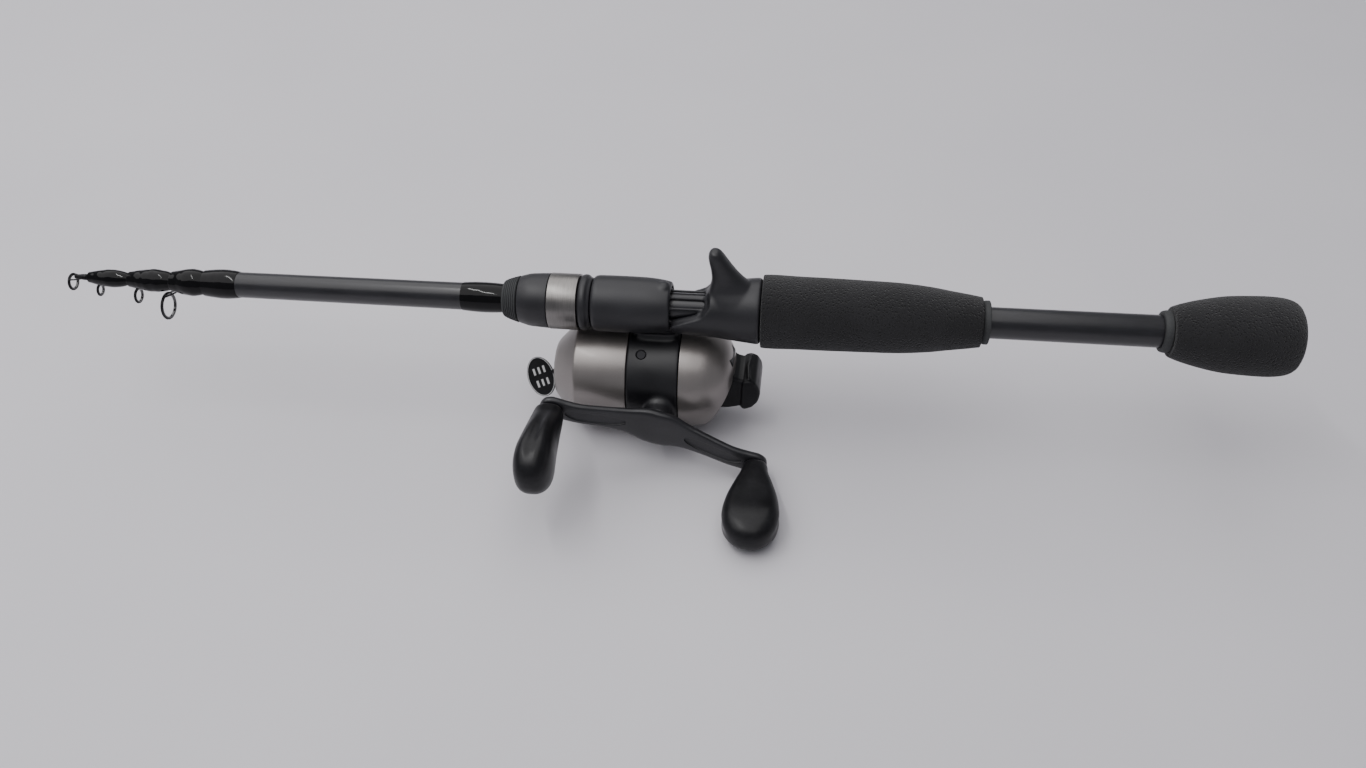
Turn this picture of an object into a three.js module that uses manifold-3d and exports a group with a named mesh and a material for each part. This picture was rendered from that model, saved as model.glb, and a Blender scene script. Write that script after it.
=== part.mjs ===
// A short telescopic fishing rod, closed, with a closed-face reel clamped under its trigger seat.
// Millimetres, +X along the rod towards the butt, +Z up, crank on the -Y side. While the pieces are made,
// the rod's axis is y = 0, z = 0 and the crank's axis is x = 0. The last lines put the origin at the
// middle of the underside. The rod lies with its reel down, as it rests on a table.
import * as THREE from "three";
import { mergeVertices } from "three/addons/utils/BufferGeometryUtils.js";
import Module from "manifold-3d";

const wasm = await Module();
wasm.setup();

// Clearances
const gap = 0.3; // between faces that touch
const slip = 0.25; // radial room where one piece slides or turns in another
const bond = 0.1; // radial room of a glued, bound or pressed fit

// Rod blank
const buttEnd = 278; // from the crank's axis to the end of the butt knob
const buttSectionLength = 479;
const extendedTravel = 314.3; // how far each section draws out
const jointOverlap = 45; // what stays inside when a section is drawn out
const butt = { frontRadius: 6.05, rearRadius: 7.4, wall: 0.8, knobFloor: 20 };
const drawRoom = 0.3; // radial room between a section's rear end and the section that it slides in
const drawn = [
  { name: "section_2", step: 17, taper: 0.25, wall: 0.6, windingWall: 1.1 },
  { name: "section_3", step: 22, taper: 0.25, wall: 0.5, windingWall: 1.05 },
  { name: "section_4", step: 21, taper: 0.35, wall: 0.45, windingWall: 1 },
];
const tip = { step: 7, taper: 0.65 };
const frontWinding = { wall: 0.48, length: 19.7 };
const buttWinding = { wall: 0.78, length: 17 };

// Line guides: ahead is from the section's front end to the ring, drop from the rod's axis to its centre
const guides = [
  { name: "guide_large", ahead: 7.5, drop: 15.3, radius: 6.9, band: 0.75, ring: 0.6 },
  { name: "guide_middle", ahead: -1, drop: 9.7, radius: 4, band: 0.65, ring: 0.5 },
  { name: "guide_small", ahead: -3, drop: 7.4, radius: 3.2, band: 0.6, ring: 0.45 },
];
const guideWire = 0.5;
const guideFoot = { length: 9, width: 1.5, height: 0.4 };
const frameThickness = 1.5;
const ringThickness = 1.2;
const tipTop = { tubeLength: 8, wall: 0.5, ahead: 2.5, drop: 3.2, radius: 4.3, band: 0.7, ring: 0.5 };

// Handle
const knob = { length: 53, frontRadius: 11.2, fullRadius: 17.5, endRadius: 12.5 };
const buttCheck = { length: 3.6, radius: 9.4 };
const plugLength = 12;
const grip = { from: 46, length: 97.6, frontRadius: 16.75, midRadius: 15.85, rearRadius: 11.4 };
const gripCheck = { length: 3.2, radius: 9.9 };
const seat = { front: -65.5, barrelRadius: 9.2, wall: 3.8, bodyWall: 5, windowFrom: 5.5, windowTo: 22 };
const trigger = { width: 9, tipX: 24.5, tipZ: 32.8 };
const hood = { from: -31.9, to: 4.5, wall: 3.8 };
const nut = { from: -66.3, frontWall: 1.7, wall: 3.6, sleeveWall: 1.95, collarLength: 7.3, collarWall: 0.9 };
const trimRing = { from: -51.8, to: -38.1, wall: 1.4 };
const foot = { from: -24, to: 28, thickness: 2, width: 16 };
const stem = { from: -12, to: 6, width: 9, height: 3.6 };

// Reel, with its own axis along X
const shell = { radius: 25.5, wall: 1.3 };
// From the rod's axis down to the reel's
const reelDrop = seat.barrelRadius + gap + foot.thickness + stem.height + shell.radius;
const bandFrom = -15.6;
const bandTo = 8.7;
const deck = { front: -18, thickness: 2, bossRadius: 5.5, bossFront: -28 };
const nose = { shoulder: -40.4, front: -52.3, radius: 12.6, holeRadius: 3.2 };
const slope = { x: 30.1, lean: 0.554 }; // the rear cover's slanted face crosses the reel's axis at x
const rearCoverEnd = 34.4;
const button = {
  pivotX: 28, pivotZ: 13.5, reach: 46.5, skirtWidth: 20, lugWidth: 13, padWidth: 22, pushX: 24.3,
};
const buttonRoom = 0.5; // beside the button in the rear cover
const screw = { x: -9, angle: 59, length: 3, shankRadius: 1, headRadius: 2, headHeight: 1, sunk: 0.4 };
const pinRadius = 1;
const pinLength = 21;

// Crank, with its axis along Y
const crankOffset = 2; // the crank's axis passes beyond the reel's, seen from the rod
const crankDrop = reelDrop + crankOffset;
const crank = { halfLength: 48.8, angle: 0.2925, hubY: -37.5, endY: -43.8, thickness: 4.4, shaftRadius: 2.6 };
const arm = { hubHalf: 9, rootHalf: 6.5, midHalf: 5.2, endHalf: 5.6 }; // half heights from the hub outwards
const bushing = { from: -32.4, to: -14, wall: 1.4 };
const paddle = { from: -44.6, to: -90.8, halfWidth: 13.2, halfThickness: 9, stalk: 5.4 };
const rivet = { radius: 1.7, headFrom: 0.8, headHeight: 1, headRoom: 1.3 };

// Gears: crown gear teeth over pinion teeth give the line's pick-up speed
const crownTeeth = 36;
const pinionTeeth = 10;
const pinion = { radius: 4, rootRadius: 2.75, sleeveRadius: 2.4, tipWidth: 0.5, rootWidth: 0.8 };
const crown = { radius: 14.2, toothIn: 11.3, toothOut: 13.7, toothWidth: 0.65, thickness: 2.4, engaged: 0.7 };
const ratchet = { teeth: 12, radius: 8, rootRadius: 6.6, from: -11.5, thickness: 1.5 };
const pawl = { pivotX: -11.5, pivotZ: -7, radius: 2.2, tipX: -2.5, tipHeight: 1.4, lead: 0.1, lifted: 6 };

// Line spool and pick-up
const shaftRadius = 1.4;
const shaftCollar = { radius: 3.2, length: 1.4, fromEnd: 0.6 };
const spring = { wireRadius: 0.35, length: 3.6, turns: 3, room: 0.2 };
const dragWasherRadius = 12;
const spinner = { front: -36, disc: 1.8, room: 3.6, wall: 1.6, rimTo: -23 };
const spinnerRadius = shell.radius - shell.wall - spinner.room;
const spool = { rear: -19.6, front: -27.4, flange: 1.4, hubRadius: 9, rimRoom: 1.7, unfilled: 2.3 };
const spoolRadius = spinnerRadius - spinner.wall - spool.rimRoom;
const spinnerNut = { length: 2.5, radius: 3.2 };
const pickup = { x: -31, radius: 1, length: 8.2, proud: 1.6 };
const dial = { radius: 7, proud: 1.5, from: -4, thickness: 5.6, postRadius: 1.5, ridges: 18 };
const dialY = shell.radius + dial.proud - dial.radius;
const lineTag = {
  halfLong: 9.2, halfShort: 6.4, thickness: 1.2, neckRadius: 0.7, centre: [-9.2, -0.8, -6.6],
};

// Materials
const finish = (color, roughness, metalness = 0) =>
  new THREE.MeshStandardMaterial({ color, roughness, metalness, flatShading: true });
const blankBlack = finish(0x1d1c20, 0.35);
const epoxyBlack = finish(0x08080a, 0.08);
const satinBlack = finish(0x1b1c20, 0.45);
const glossBlack = finish(0x0d0d10, 0.15);
const foamBlack = finish(0x141416, 0.95);
const rubberGrey = finish(0x2a2d2e, 0.8);
const brightTrim = finish(0xc4bdb2, 0.35, 1);
const pewter = finish(0xb3aca6, 0.4, 0.8);
const steel = finish(0xa5a8ab, 0.3, 1);
const brass = finish(0xb6924a, 0.35, 1);
const innerPlastic = finish(0xc9c6bd, 0.5);
const lineClear = finish(0xc8d2cf, 0.25);

// Solids -------------------------------------------------------------------------------------------

function solidOf(geometry) {
  const loose = geometry.index ? geometry.toNonIndexed() : geometry;
  const bare = new THREE.BufferGeometry().setAttribute("position", loose.getAttribute("position"));
  const merged = mergeVertices(bare, 1e-4);
  const corner = (i) => new THREE.Vector3().fromBufferAttribute(merged.attributes.position, i);
  const faces = [];
  let volume = 0;
  for (let i = 0; i < merged.index.count; i += 3) {
    const [a, b, c] = [0, 1, 2].map((k) => merged.index.getX(i + k));
    if (a === b || b === c || c === a) continue;
    faces.push([a, b, c]);
    volume += corner(a).dot(corner(b).cross(corner(c)));
  }
  if (volume < 0) faces.forEach((face) => face.reverse());
  return new wasm.Manifold(
    new wasm.Mesh({
      numProp: 3,
      vertProperties: merged.attributes.position.array,
      triVerts: new Uint32Array(faces.flat()),
    }),
  );
}

// A full turn about X of a closed outline of [x, radius] points, or one that starts and ends on the axis.
function turned(outline, sides = 20) {
  const points = outline.map(([x, radius]) => new THREE.Vector2(radius, x));
  return solidOf(new THREE.LatheGeometry(points, sides).rotateZ(-Math.PI / 2));
}

// A turned tube given by [x, inner radius, outer radius] stations.
function sleeve(stations, sides = 20) {
  const outer = stations.map(([x, , radius]) => [x, radius]);
  const inner = stations.map(([x, radius]) => [x, radius]).reverse();
  return turned([...outer, ...inner, outer[0]], sides);
}

function rodAlongX(from, to, radius, sides = 16) {
  return turned([[from, 0], [from, radius], [to, radius], [to, 0]], sides);
}

function rodAlongY(from, to, radius, sides = 16) {
  return rodAlongX(from, to, radius, sides).rotate([0, 0, 90]);
}

function sleeveAlongY(stations, sides = 16) {
  return sleeve(stations, sides).rotate([0, 0, 90]);
}

// An outline of [x, z] points made into a slab from one y to another.
function slab(outline, from, to) {
  const shape = new THREE.Shape(outline.map(([x, z]) => new THREE.Vector2(x, z)));
  const flat = new THREE.ExtrudeGeometry(shape, { depth: to - from, bevelEnabled: false });
  return solidOf(flat.rotateX(Math.PI / 2).translate(0, to, 0));
}

function centredSlab(outline, width) {
  return slab(outline, -width / 2, width / 2);
}

function block(low, high) {
  const size = high.map((value, i) => value - low[i]);
  const middle = high.map((value, i) => (value + low[i]) / 2);
  return solidOf(new THREE.BoxGeometry(...size).translate(...middle));
}

// A round wire through a few points.
function wire(points, radius, steps, sides = 6) {
  const curve = new THREE.CatmullRomCurve3(points.map((point) => new THREE.Vector3(...point)));
  const section = new THREE.Shape();
  section.setFromPoints(polar(sides, radius).map(([a, b]) => new THREE.Vector2(a, b)));
  return solidOf(new THREE.ExtrudeGeometry(section, { steps, extrudePath: curve, bevelEnabled: false }));
}

function polar(count, radius, turn = 0) {
  return Array.from({ length: count }, (_, k) => {
    const angle = (k / count) * 2 * Math.PI + turn;
    return [radius * Math.cos(angle), radius * Math.sin(angle)];
  });
}

function join(first, ...others) {
  return others.reduce((whole, piece) => whole.add(piece), first);
}

function geometryOf(solid) {
  const { vertProperties, triVerts } = solid.getMesh();
  const geometry = new THREE.BufferGeometry();
  geometry.setAttribute("position", new THREE.BufferAttribute(vertProperties, 3));
  geometry.setIndex(new THREE.BufferAttribute(triVerts, 1));
  geometry.computeVertexNormals();
  return geometry;
}

const group = new THREE.Group();

function place(name, solid, material, parent = group) {
  const mesh = new THREE.Mesh(geometryOf(solid), material);
  mesh.name = name;
  parent.add(mesh);
  return mesh;
}

// Blank ---------------------------------------------------------------------------------------------

const buttRear = buttEnd - butt.knobFloor;
const buttFront = buttRear - buttSectionLength;
const buttRadiusAt = (x) =>
  THREE.MathUtils.mapLinear(x, buttFront, buttRear, butt.frontRadius, butt.rearRadius);

place("butt_section", taperedTube(buttFront, buttRear, butt), blankBlack);
place("winding_butt", winding(
  buttFront, buttFront + buttWinding.length, buttRadiusAt, buttWinding.wall,
), epoxyBlack);

function taperedTube(front, rear, { frontRadius, rearRadius, wall }, sides = 16) {
  return sleeve([[front, frontRadius - wall, frontRadius], [rear, rearRadius - wall, rearRadius]], sides);
}

// Thread bound round a blank under epoxy, thinning to both ends.
function winding(from, to, blankRadiusAt, wall) {
  const fade = Math.min(2, (to - from) / 4);
  const thin = wall / 3 + bond;
  return sleeve(
    [
      [from, blankRadiusAt(from) + bond, blankRadiusAt(from) + thin],
      [from + fade, blankRadiusAt(from + fade) + bond, blankRadiusAt(from + fade) + wall],
      [to - fade, blankRadiusAt(to - fade) + bond, blankRadiusAt(to - fade) + wall],
      [to, blankRadiusAt(to) + bond, blankRadiusAt(to) + thin],
    ],
    16,
  );
}

let outerFront = buttFront;
let outerBore = butt.frontRadius - butt.wall;
drawn.forEach((section, index) => {
  const front = outerFront - section.step;
  const rear = outerFront + jointOverlap + extendedTravel;
  const rearRadius = outerBore - drawRoom;
  const frontRadius = rearRadius - section.taper;
  const radiusAt = (x) => THREE.MathUtils.mapLinear(x, front, rear, frontRadius, rearRadius);
  place(section.name, taperedTube(front, rear, { frontRadius, rearRadius, wall: section.wall }), blankBlack);
  const guide = guides[index];
  const ringX = front - guide.ahead;
  const footFrom = Math.max(ringX + guideWire, front + gap);
  const footBase = radiusAt(footFrom) + bond;
  const frame = guideFrame(guide, ringX, footFrom, footBase);
  const wound = winding(front + gap, outerFront - gap, radiusAt, section.windingWall);
  place("winding_" + (index + 2), wound.subtract(guideSlot(guide, ringX, footFrom, footBase)), epoxyBlack);
  place(guide.name, frame, satinBlack);
  place(guide.name + "_ring", wearRing(guide, ringX), glossBlack);
  outerFront = front;
  outerBore = frontRadius - section.wall;
});

function bare(guide) {
  return guide.radius - guide.band;
}

function wearRing(guide, x) {
  const outer = bare(guide) - bond;
  const half = ringThickness / 2;
  const stations = [[x - half, outer - guide.ring, outer], [x + half, outer - guide.ring, outer]];
  return sleeve(stations, 16).translate([0, 0, -guide.drop]);
}

// A ring on a bent wire leg, whose foot lies along the blank under the winding.
function guideFrame(guide, x, footFrom, footBase) {
  const half = frameThickness / 2;
  const band = sleeve([[x - half, bare(guide), guide.radius], [x + half, bare(guide), guide.radius]], 16);
  const footZ = footBase + guideFoot.height / 2;
  const top = guide.drop - guide.radius + guide.band / 2;
  const leg = wire(
    [
      [footFrom + 1.2, 0, -footZ - 0.1],
      [THREE.MathUtils.lerp(footFrom, x, 0.35), 0, -THREE.MathUtils.lerp(footZ, top, 0.3) - 0.2],
      [x, 0, -top],
    ],
    guideWire,
    5,
  );
  const plate = footPlate(footFrom, footBase, 0);
  const hole = rodAlongX(x - 2 * half, x + 2 * half, bare(guide), 16);
  const centre = [0, 0, -guide.drop];
  return join(band.translate(centre), leg, plate).subtract(hole.translate(centre));
}

function footPlate(from, base, room) {
  const half = guideFoot.width / 2 + room;
  return block(
    [from - room, -half, -base - guideFoot.height - room],
    [from + guideFoot.length + room, half, -base + room],
  );
}

// The room that a guide's foot and leg take in their winding.
function guideSlot(guide, x, footFrom, footBase) {
  const legHalf = guideWire + bond;
  const legFrom = Math.min(x, footFrom) - 2;
  const legRoom = block([legFrom, -legHalf, -guide.drop], [footFrom + 2.4, legHalf, -footBase + bond]);
  return footPlate(footFrom, footBase, bond).add(legRoom);
}

const tipFront = outerFront - tip.step;
const tipRear = outerFront + jointOverlap + extendedTravel;
const tipRearRadius = outerBore - drawRoom;
const tipRadius = tipRearRadius - tip.taper;
place("tip_section", turned([
  [tipFront, 0], [tipFront, tipRadius], [tipRear, tipRearRadius], [tipRear, 0],
]), blankBlack);
place("tip_top", makeTipTop(), satinBlack);
place("tip_top_ring", wearRing(tipTop, tipFront - tipTop.ahead), glossBlack);

function makeTipTop() {
  const x = tipFront - tipTop.ahead;
  const half = frameThickness / 2;
  const ringInner = bare(tipTop);
  const band = sleeve([[x - half, ringInner, tipTop.radius], [x + half, ringInner, tipTop.radius]], 16);
  const tubeFront = x + half - 0.3;
  const bore = tipRadius + slip;
  const rear = Math.min(tubeFront + tipTop.tubeLength, outerFront - gap);
  const tube = turned([
    [tubeFront, 0], [tubeFront, bore + tipTop.wall], [rear, bore + tipTop.wall],
    [rear, bore], [tipFront - gap, bore], [tipFront - gap, 0],
  ], 12);
  const legs = [-1, 1].map((side) => {
    const points = [
      [rear - 2, side * (bore + tipTop.wall) * 0.8, -0.6],
      [x + 2.2, side * 2.9, -1.6],
      [x, side * (tipTop.radius - tipTop.band / 2), -tipTop.drop],
    ];
    return wire(points, guideWire, 5);
  });
  const hole = rodAlongX(x - 2 * half, x + half - 0.05, ringInner, 16).translate([0, 0, -tipTop.drop]);
  return join(band.translate([0, 0, -tipTop.drop]), tube, ...legs).subtract(hole);
}

// Handle ----------------------------------------------------------------------------------------------

const knobFront = buttEnd - knob.length;
const knobBore = buttRadiusAt(buttRear) + slip;
place("butt_knob", turned([
  [knobFront, 0], [knobFront, knob.frontRadius],
  [knobFront + knob.length * 0.25, THREE.MathUtils.lerp(knob.frontRadius, knob.fullRadius, 0.58)],
  [knobFront + knob.length * 0.5, knob.fullRadius * 0.985],
  [knobFront + knob.length * 0.66, knob.fullRadius],
  [buttEnd - 6, knob.fullRadius * 0.97], [buttEnd - 1.6, knob.fullRadius * 0.86],
  [buttEnd, knob.endRadius], [buttEnd, 0],
]).subtract(rodAlongX(knobFront - 1, buttRear + gap, knobBore)), foamBlack);
place("butt_plug", plug(), rubberGrey);
place("butt_check", checkRing(knobFront - gap - buttCheck.length, buttCheck), rubberGrey);

function plug() {
  const radius = buttRadiusAt(buttRear - plugLength) - butt.wall - bond;
  return rodAlongX(buttRear - plugLength, buttRear, radius, 16);
}

// A rubber ring on the blank that finishes the end of a grip.
function checkRing(from, { length, radius }) {
  const bore = buttRadiusAt(from + length) + bond;
  return sleeve([
    [from, bore, radius - 0.6], [from + length * 0.4, bore, radius], [from + length, bore, radius],
  ]);
}

const gripEnd = grip.from + grip.length;
const gripBore = buttRadiusAt(gripEnd) + slip;
place("rear_grip", sleeve([
  [grip.from, gripBore, grip.frontRadius],
  [grip.from + grip.length * 0.3, gripBore, THREE.MathUtils.lerp(grip.frontRadius, grip.midRadius, 0.3)],
  [grip.from + grip.length * 0.625, gripBore, grip.midRadius],
  [grip.from + grip.length * 0.85, gripBore, THREE.MathUtils.lerp(grip.midRadius, grip.rearRadius, 0.45)],
  [gripEnd - 2, gripBore, grip.rearRadius + 0.7],
  [gripEnd, gripBore, grip.rearRadius - 0.8],
]), foamBlack);
place("grip_check", checkRing(gripEnd + gap, gripCheck), rubberGrey);

// Reel seat: a barrel for the hood and nut, a saddle for the reel's foot, a fixed pocket and the trigger.
const seatRear = grip.from - gap;
const wallRadius = seat.barrelRadius + seat.wall;
const bodyRadius = seat.barrelRadius + seat.bodyWall;
const seatBore = buttRadiusAt(seatRear) + slip;
const footInner = seat.barrelRadius + gap;
const footOuter = footInner + foot.thickness;
const pocketRoom = 0.4;
place("reel_seat", makeSeat(), satinBlack);

function makeSeat() {
  const barrel = sleeve([
    [seat.front, seatBore, seat.barrelRadius], [seat.windowTo + 2, seatBore, seat.barrelRadius],
  ]);
  const saddle = sleeve([
    [hood.to + 0.7, seatBore, wallRadius - 0.8],
    [seat.windowTo + 2, seatBore, wallRadius + 0.2],
  ]);
  const saddleRoom = block([hood.to, -20, -1], [seat.windowTo, 20, 20]);
  const body = sleeve([
    [seat.windowTo, seatBore, wallRadius - 0.4],
    [seat.windowTo + 8, seatBore, bodyRadius - 0.4],
    [seatRear, seatBore, bodyRadius + 1],
  ]);
  const { tipX, tipZ } = trigger;
  const root = seat.barrelRadius;
  const hook = centredSlab([
    [tipX + 3.3, root], [tipX + 2.3, tipZ - 20], [tipX - 0.9, tipZ - 11], [tipX - 2.5, tipZ - 4.5],
    [tipX - 2.2, tipZ - 1.2], [tipX, tipZ], [tipX + 2.6, tipZ - 1.6], [tipX + 6.2, tipZ - 7.5],
    [tipX + 9.6, tipZ - 13], [tipX + 13, tipZ - 17.5], [tipX + 17, root],
  ], trigger.width);
  const footHalf = foot.width / 2 + pocketRoom;
  const openBelow = block([hood.to, -footHalf, -20], [seat.windowTo - 5, footHalf, -4]);
  const keepBarrel = sleeve([
    [hood.to - 1, seatBore, seat.barrelRadius], [seat.windowTo, seatBore, seat.barrelRadius],
  ]);
  const lower = block([hood.to - 2, -20, -20], [seat.windowTo + 1, 20, -1]);
  return barrel
    .subtract(block([seat.windowFrom, -20, -1], [seat.windowTo, 20, 20]))
    .add(saddle.subtract(saddleRoom).subtract(openBelow))
    .add(keepBarrel.intersect(lower))
    .add(body)
    .add(hook)
    .subtract(footPocket(hood.to, foot.to + pocketRoom))
    .subtract(rodAlongX(seat.front - 1, seatRear + 1, seatBore));
}

// The curved slot that an end of the reel's foot slides into.
function footPocket(from, to) {
  const roof = footOuter + pocketRoom;
  const ring = sleeve([[from, seat.barrelRadius, roof], [to, seat.barrelRadius, roof]]);
  const half = foot.width / 2 + pocketRoom;
  return ring.intersect(block([from - 1, -half, -20], [to + 1, half, -3]));
}

const hoodBore = seat.barrelRadius + slip;
const hoodRadius = seat.barrelRadius + hood.wall;
place("sliding_hood", makeHood(), satinBlack);

function makeHood() {
  const body = sleeve([
    [hood.from, hoodBore, hoodRadius - 0.7], [hood.from + 1.5, hoodBore, hoodRadius],
    [hood.to - 14, hoodBore, hoodRadius + 0.1], [hood.to - 5, hoodBore, hoodRadius - 0.6],
    [hood.to, hoodBore, hoodRadius - 1.4],
  ]);
  const notch = block([stem.from - gap - 2, -12, -20], [hood.to + 1, 12, -seat.barrelRadius + 1.2]);
  return body.subtract(footPocket(foot.from - pocketRoom, hood.to + 1)).subtract(notch);
}

// Lock nut: front cone, sleeve under the trim ring, flange against the hood, textured collar in front.
const nutBore = hoodBore;
const nutFront = nutBore + nut.frontWall - slip;
const nutRadius = nutBore + nut.wall - slip;
const nutSleeve = nutBore + nut.sleeveWall;
const flangeFrom = trimRing.to + gap;
place("lock_nut", sleeve([
  [nut.from, nutBore, nutFront], [nut.from + 5, nutBore, nutRadius - 0.5],
  [trimRing.from - gap, nutBore, nutRadius], [trimRing.from - gap + 0.01, nutBore, nutSleeve],
  [trimRing.to, nutBore, nutSleeve],
]), satinBlack);
const trimBore = nutSleeve + slip;
const trimRadius = trimBore + trimRing.wall;
place("trim_ring", sleeve([
  [trimRing.from, trimBore, trimRadius], [trimRing.to, trimBore, trimRadius],
], 24), brightTrim);
const flangeEnd = hood.from - gap;
place("nut_flange", sleeve([
  [flangeFrom, nutBore, hoodRadius - 0.5], [flangeFrom + 1, nutBore, hoodRadius],
  [flangeEnd - 1, nutBore, hoodRadius], [flangeEnd, nutBore, hoodRadius - 0.5],
]), satinBlack);
const collarFront = nut.from - gap - nut.collarLength;
const collarBore = buttRadiusAt(collarFront) + frontWinding.wall + slip;
place("nut_collar", sleeve([
  [collarFront, collarBore, collarBore + nut.collarWall], [nut.from - gap, collarBore, nutFront],
]), rubberGrey);
const frontWindingRear = collarFront - gap;
place("winding_front", winding(
  frontWindingRear - frontWinding.length, frontWindingRear, buttRadiusAt, frontWinding.wall,
), epoxyBlack);

// Reel --------------------------------------------------------------------------------------------------

const reel = new THREE.Group();
reel.position.z = -reelDrop;
group.add(reel);
const inShell = shell.radius - shell.wall;
const crankZ = -crankOffset; // the crank's axis seen from the reel's axis
const bushingRadius = crank.shaftRadius + slip + bushing.wall;
const bossRadius = bushingRadius + 2.2;
const footPlane = reelDrop - footInner;

place("reel_body", makeReelBody(), satinBlack, reel);

function makeReelBody() {
  const spigot = inShell - gap;
  const ringInner = inShell - 0.6;
  const bore = pinion.sleeveRadius + slip;
  const deckRear = deck.front + deck.thickness;
  const drum = turned([
    [bandTo, shell.radius], [bandFrom, shell.radius], [bandFrom, spigot], [deck.front, spigot],
    [deck.front, deck.bossRadius], [deck.bossFront, deck.bossRadius], [deck.bossFront, bore],
    [deckRear, bore], [deckRear, ringInner], [bandTo, ringInner], [bandTo, shell.radius],
  ], 28);
  const boss = rodAlongY(bushing.from, bushing.to, bossRadius, 20).translate([0, 0, crankZ]);
  const bossBore = rodAlongY(bushing.from - 1, bushing.to + 1, bushingRadius + bond, 20)
    .translate([0, 0, crankZ]);
  const plate = sleeve([[foot.from, footInner, footOuter], [foot.to, footInner, footOuter]])
    .intersect(block([foot.from - 1, -foot.width / 2, -20], [foot.to + 1, foot.width / 2, -3]))
    .translate([0, 0, reelDrop]);
  const neck = block(
    [stem.from, -stem.width / 2, shell.radius - 0.8], [stem.to, stem.width / 2, footPlane - 1],
  );
  const dialTo = dial.from + dial.thickness;
  const dialSlot = block(
    [dial.from - gap, dialY, -dial.radius - gap], [dialTo + gap, shell.radius + 1, dial.radius + gap],
  );
  const dialPost = rodAlongX(deckRear - 0.5, dialTo + 1.5, dial.postRadius, 12).translate([0, dialY, 0]);
  const pawlZ = crankZ + pawl.pivotZ;
  const lug = block(
    [deckRear - 0.5, ratchet.from - 3, pawlZ - 2.5],
    [pawl.pivotX + pawl.radius, ratchet.from - gap, pawlZ + 2.5],
  );
  const pawlPost = rodAlongY(ratchet.from - 1, ratchet.from + ratchet.thickness + 0.6, pinRadius, 12)
    .translate([pawl.pivotX, 0, pawlZ]);
  return join(drum.add(boss).subtract(dialSlot).subtract(bossBore), neck, plate, dialPost, lug, pawlPost)
    .subtract(screwHole());
}

// A countersunk screw in the band, on the side that faces up and out.
function bandScrew(length, room, lift = 0) {
  const headRadius = screw.headRadius + room;
  const shankRadius = screw.shankRadius + room;
  const neck = length - screw.headHeight;
  const outline = [
    [0, 0], [0, shankRadius], [neck, shankRadius], [neck, headRadius], [length, headRadius], [length, 0],
  ];
  return turned(outline, 12)
    .translate([shell.radius - screw.sunk + lift - length, 0, 0])
    .rotate([0, -screw.angle, 0])
    .rotate([0, 0, -90])
    .translate([screw.x, 0, 0]);
}

// Its hole runs on below the screw and opens at the band's face.
function screwHole() {
  return bandScrew(screw.length + 2, bond).add(bandScrew(screw.length, bond, screw.headHeight - bond));
}

place("band_screw", bandScrew(screw.length, 0), steel, reel);

place("front_cover", turned([
  [bandFrom - gap, inShell], [bandFrom - gap, shell.radius], [nose.shoulder, shell.radius],
  [nose.front + 1.2, nose.radius + 1.6], [nose.front, nose.radius], [nose.front, nose.holeRadius + 2],
  [nose.front + shell.wall, nose.holeRadius + 2], [nose.front + shell.wall, nose.radius],
  [nose.shoulder + 0.6, inShell], [bandFrom - gap, inShell],
], 28), pewter, reel);
const eyeletNeck = nose.holeRadius + 2 - bond;
place("line_eyelet", sleeve([
  [nose.front - 1.4, nose.holeRadius + 0.5, eyeletNeck + 0.6],
  [nose.front - gap, nose.holeRadius, eyeletNeck + 1.6],
  [nose.front - gap + 0.01, nose.holeRadius, eyeletNeck],
  [nose.front + shell.wall + 0.5, nose.holeRadius + 0.4, eyeletNeck],
], 20), steel, reel);

// The dome-like rear cover is cut by a slanted face, which the thumb button stands in.
function slopeSide(shift) {
  const reach = 40;
  const crossing = (z) => slope.x - shift + slope.lean * z;
  return centredSlab([
    [-reach, reach], [crossing(reach), reach], [crossing(-reach), -reach], [-reach, -reach],
  ], 2 * reach);
}

const domeRadii = [[0, 1], [0.24, 0.988], [0.51, 0.925], [0.75, 0.785], [0.9, 0.61], [0.98, 0.39]];
function dome(from, end, radius) {
  const outline = domeRadii.map(([along, share]) => [from + (end - from) * along, radius * share]);
  return turned([[from, 0], ...outline, [end, 0]], 28);
}

const coverFrom = bandTo + gap;
place("rear_cover", makeRearCover(), pewter, reel);

function makeRearCover() {
  const slantWall = shell.wall * Math.hypot(1, slope.lean);
  const outside = dome(coverFrom, rearCoverEnd, shell.radius).intersect(slopeSide(0));
  const inside = dome(coverFrom - 1, rearCoverEnd - shell.wall, inShell).intersect(slopeSide(slantWall));
  const half = button.skirtWidth / 2 + buttonRoom;
  const lugHalf = button.lugWidth / 2 + buttonRoom;
  const { pivotX, pivotZ } = button;
  const window = block([coverFrom + 8, -half, -14.4], [60, half, pivotZ - 3.8])
    .add(block([pivotX - 4, -lugHalf, pivotZ - 4.5], [60, lugHalf, pivotZ + 2.7]));
  const ears = [-1, 1].map((side) => {
    const near = side * (lugHalf + 0.01);
    const far = side * (lugHalf + 6);
    return block(
      [pivotX - 2.6, Math.min(near, far), pivotZ - 2.4], [pivotX + 2.6, Math.max(near, far), pivotZ + 2.6],
    ).intersect(outside);
  });
  const pinBore = rodAlongY(-pinLength / 2 - gap, pinLength / 2 + gap, pinRadius + bond, 12)
    .translate([pivotX, 0, pivotZ]);
  return join(outside.subtract(inside).subtract(window), ...ears).subtract(pinBore);
}

const buttonPin = rodAlongY(-pinLength / 2, pinLength / 2, pinRadius, 12)
  .translate([button.pivotX, 0, button.pivotZ]);
place("button_pin", buttonPin, steel, reel);
place("thumb_button", makeButton(), glossBlack, reel);

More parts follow.
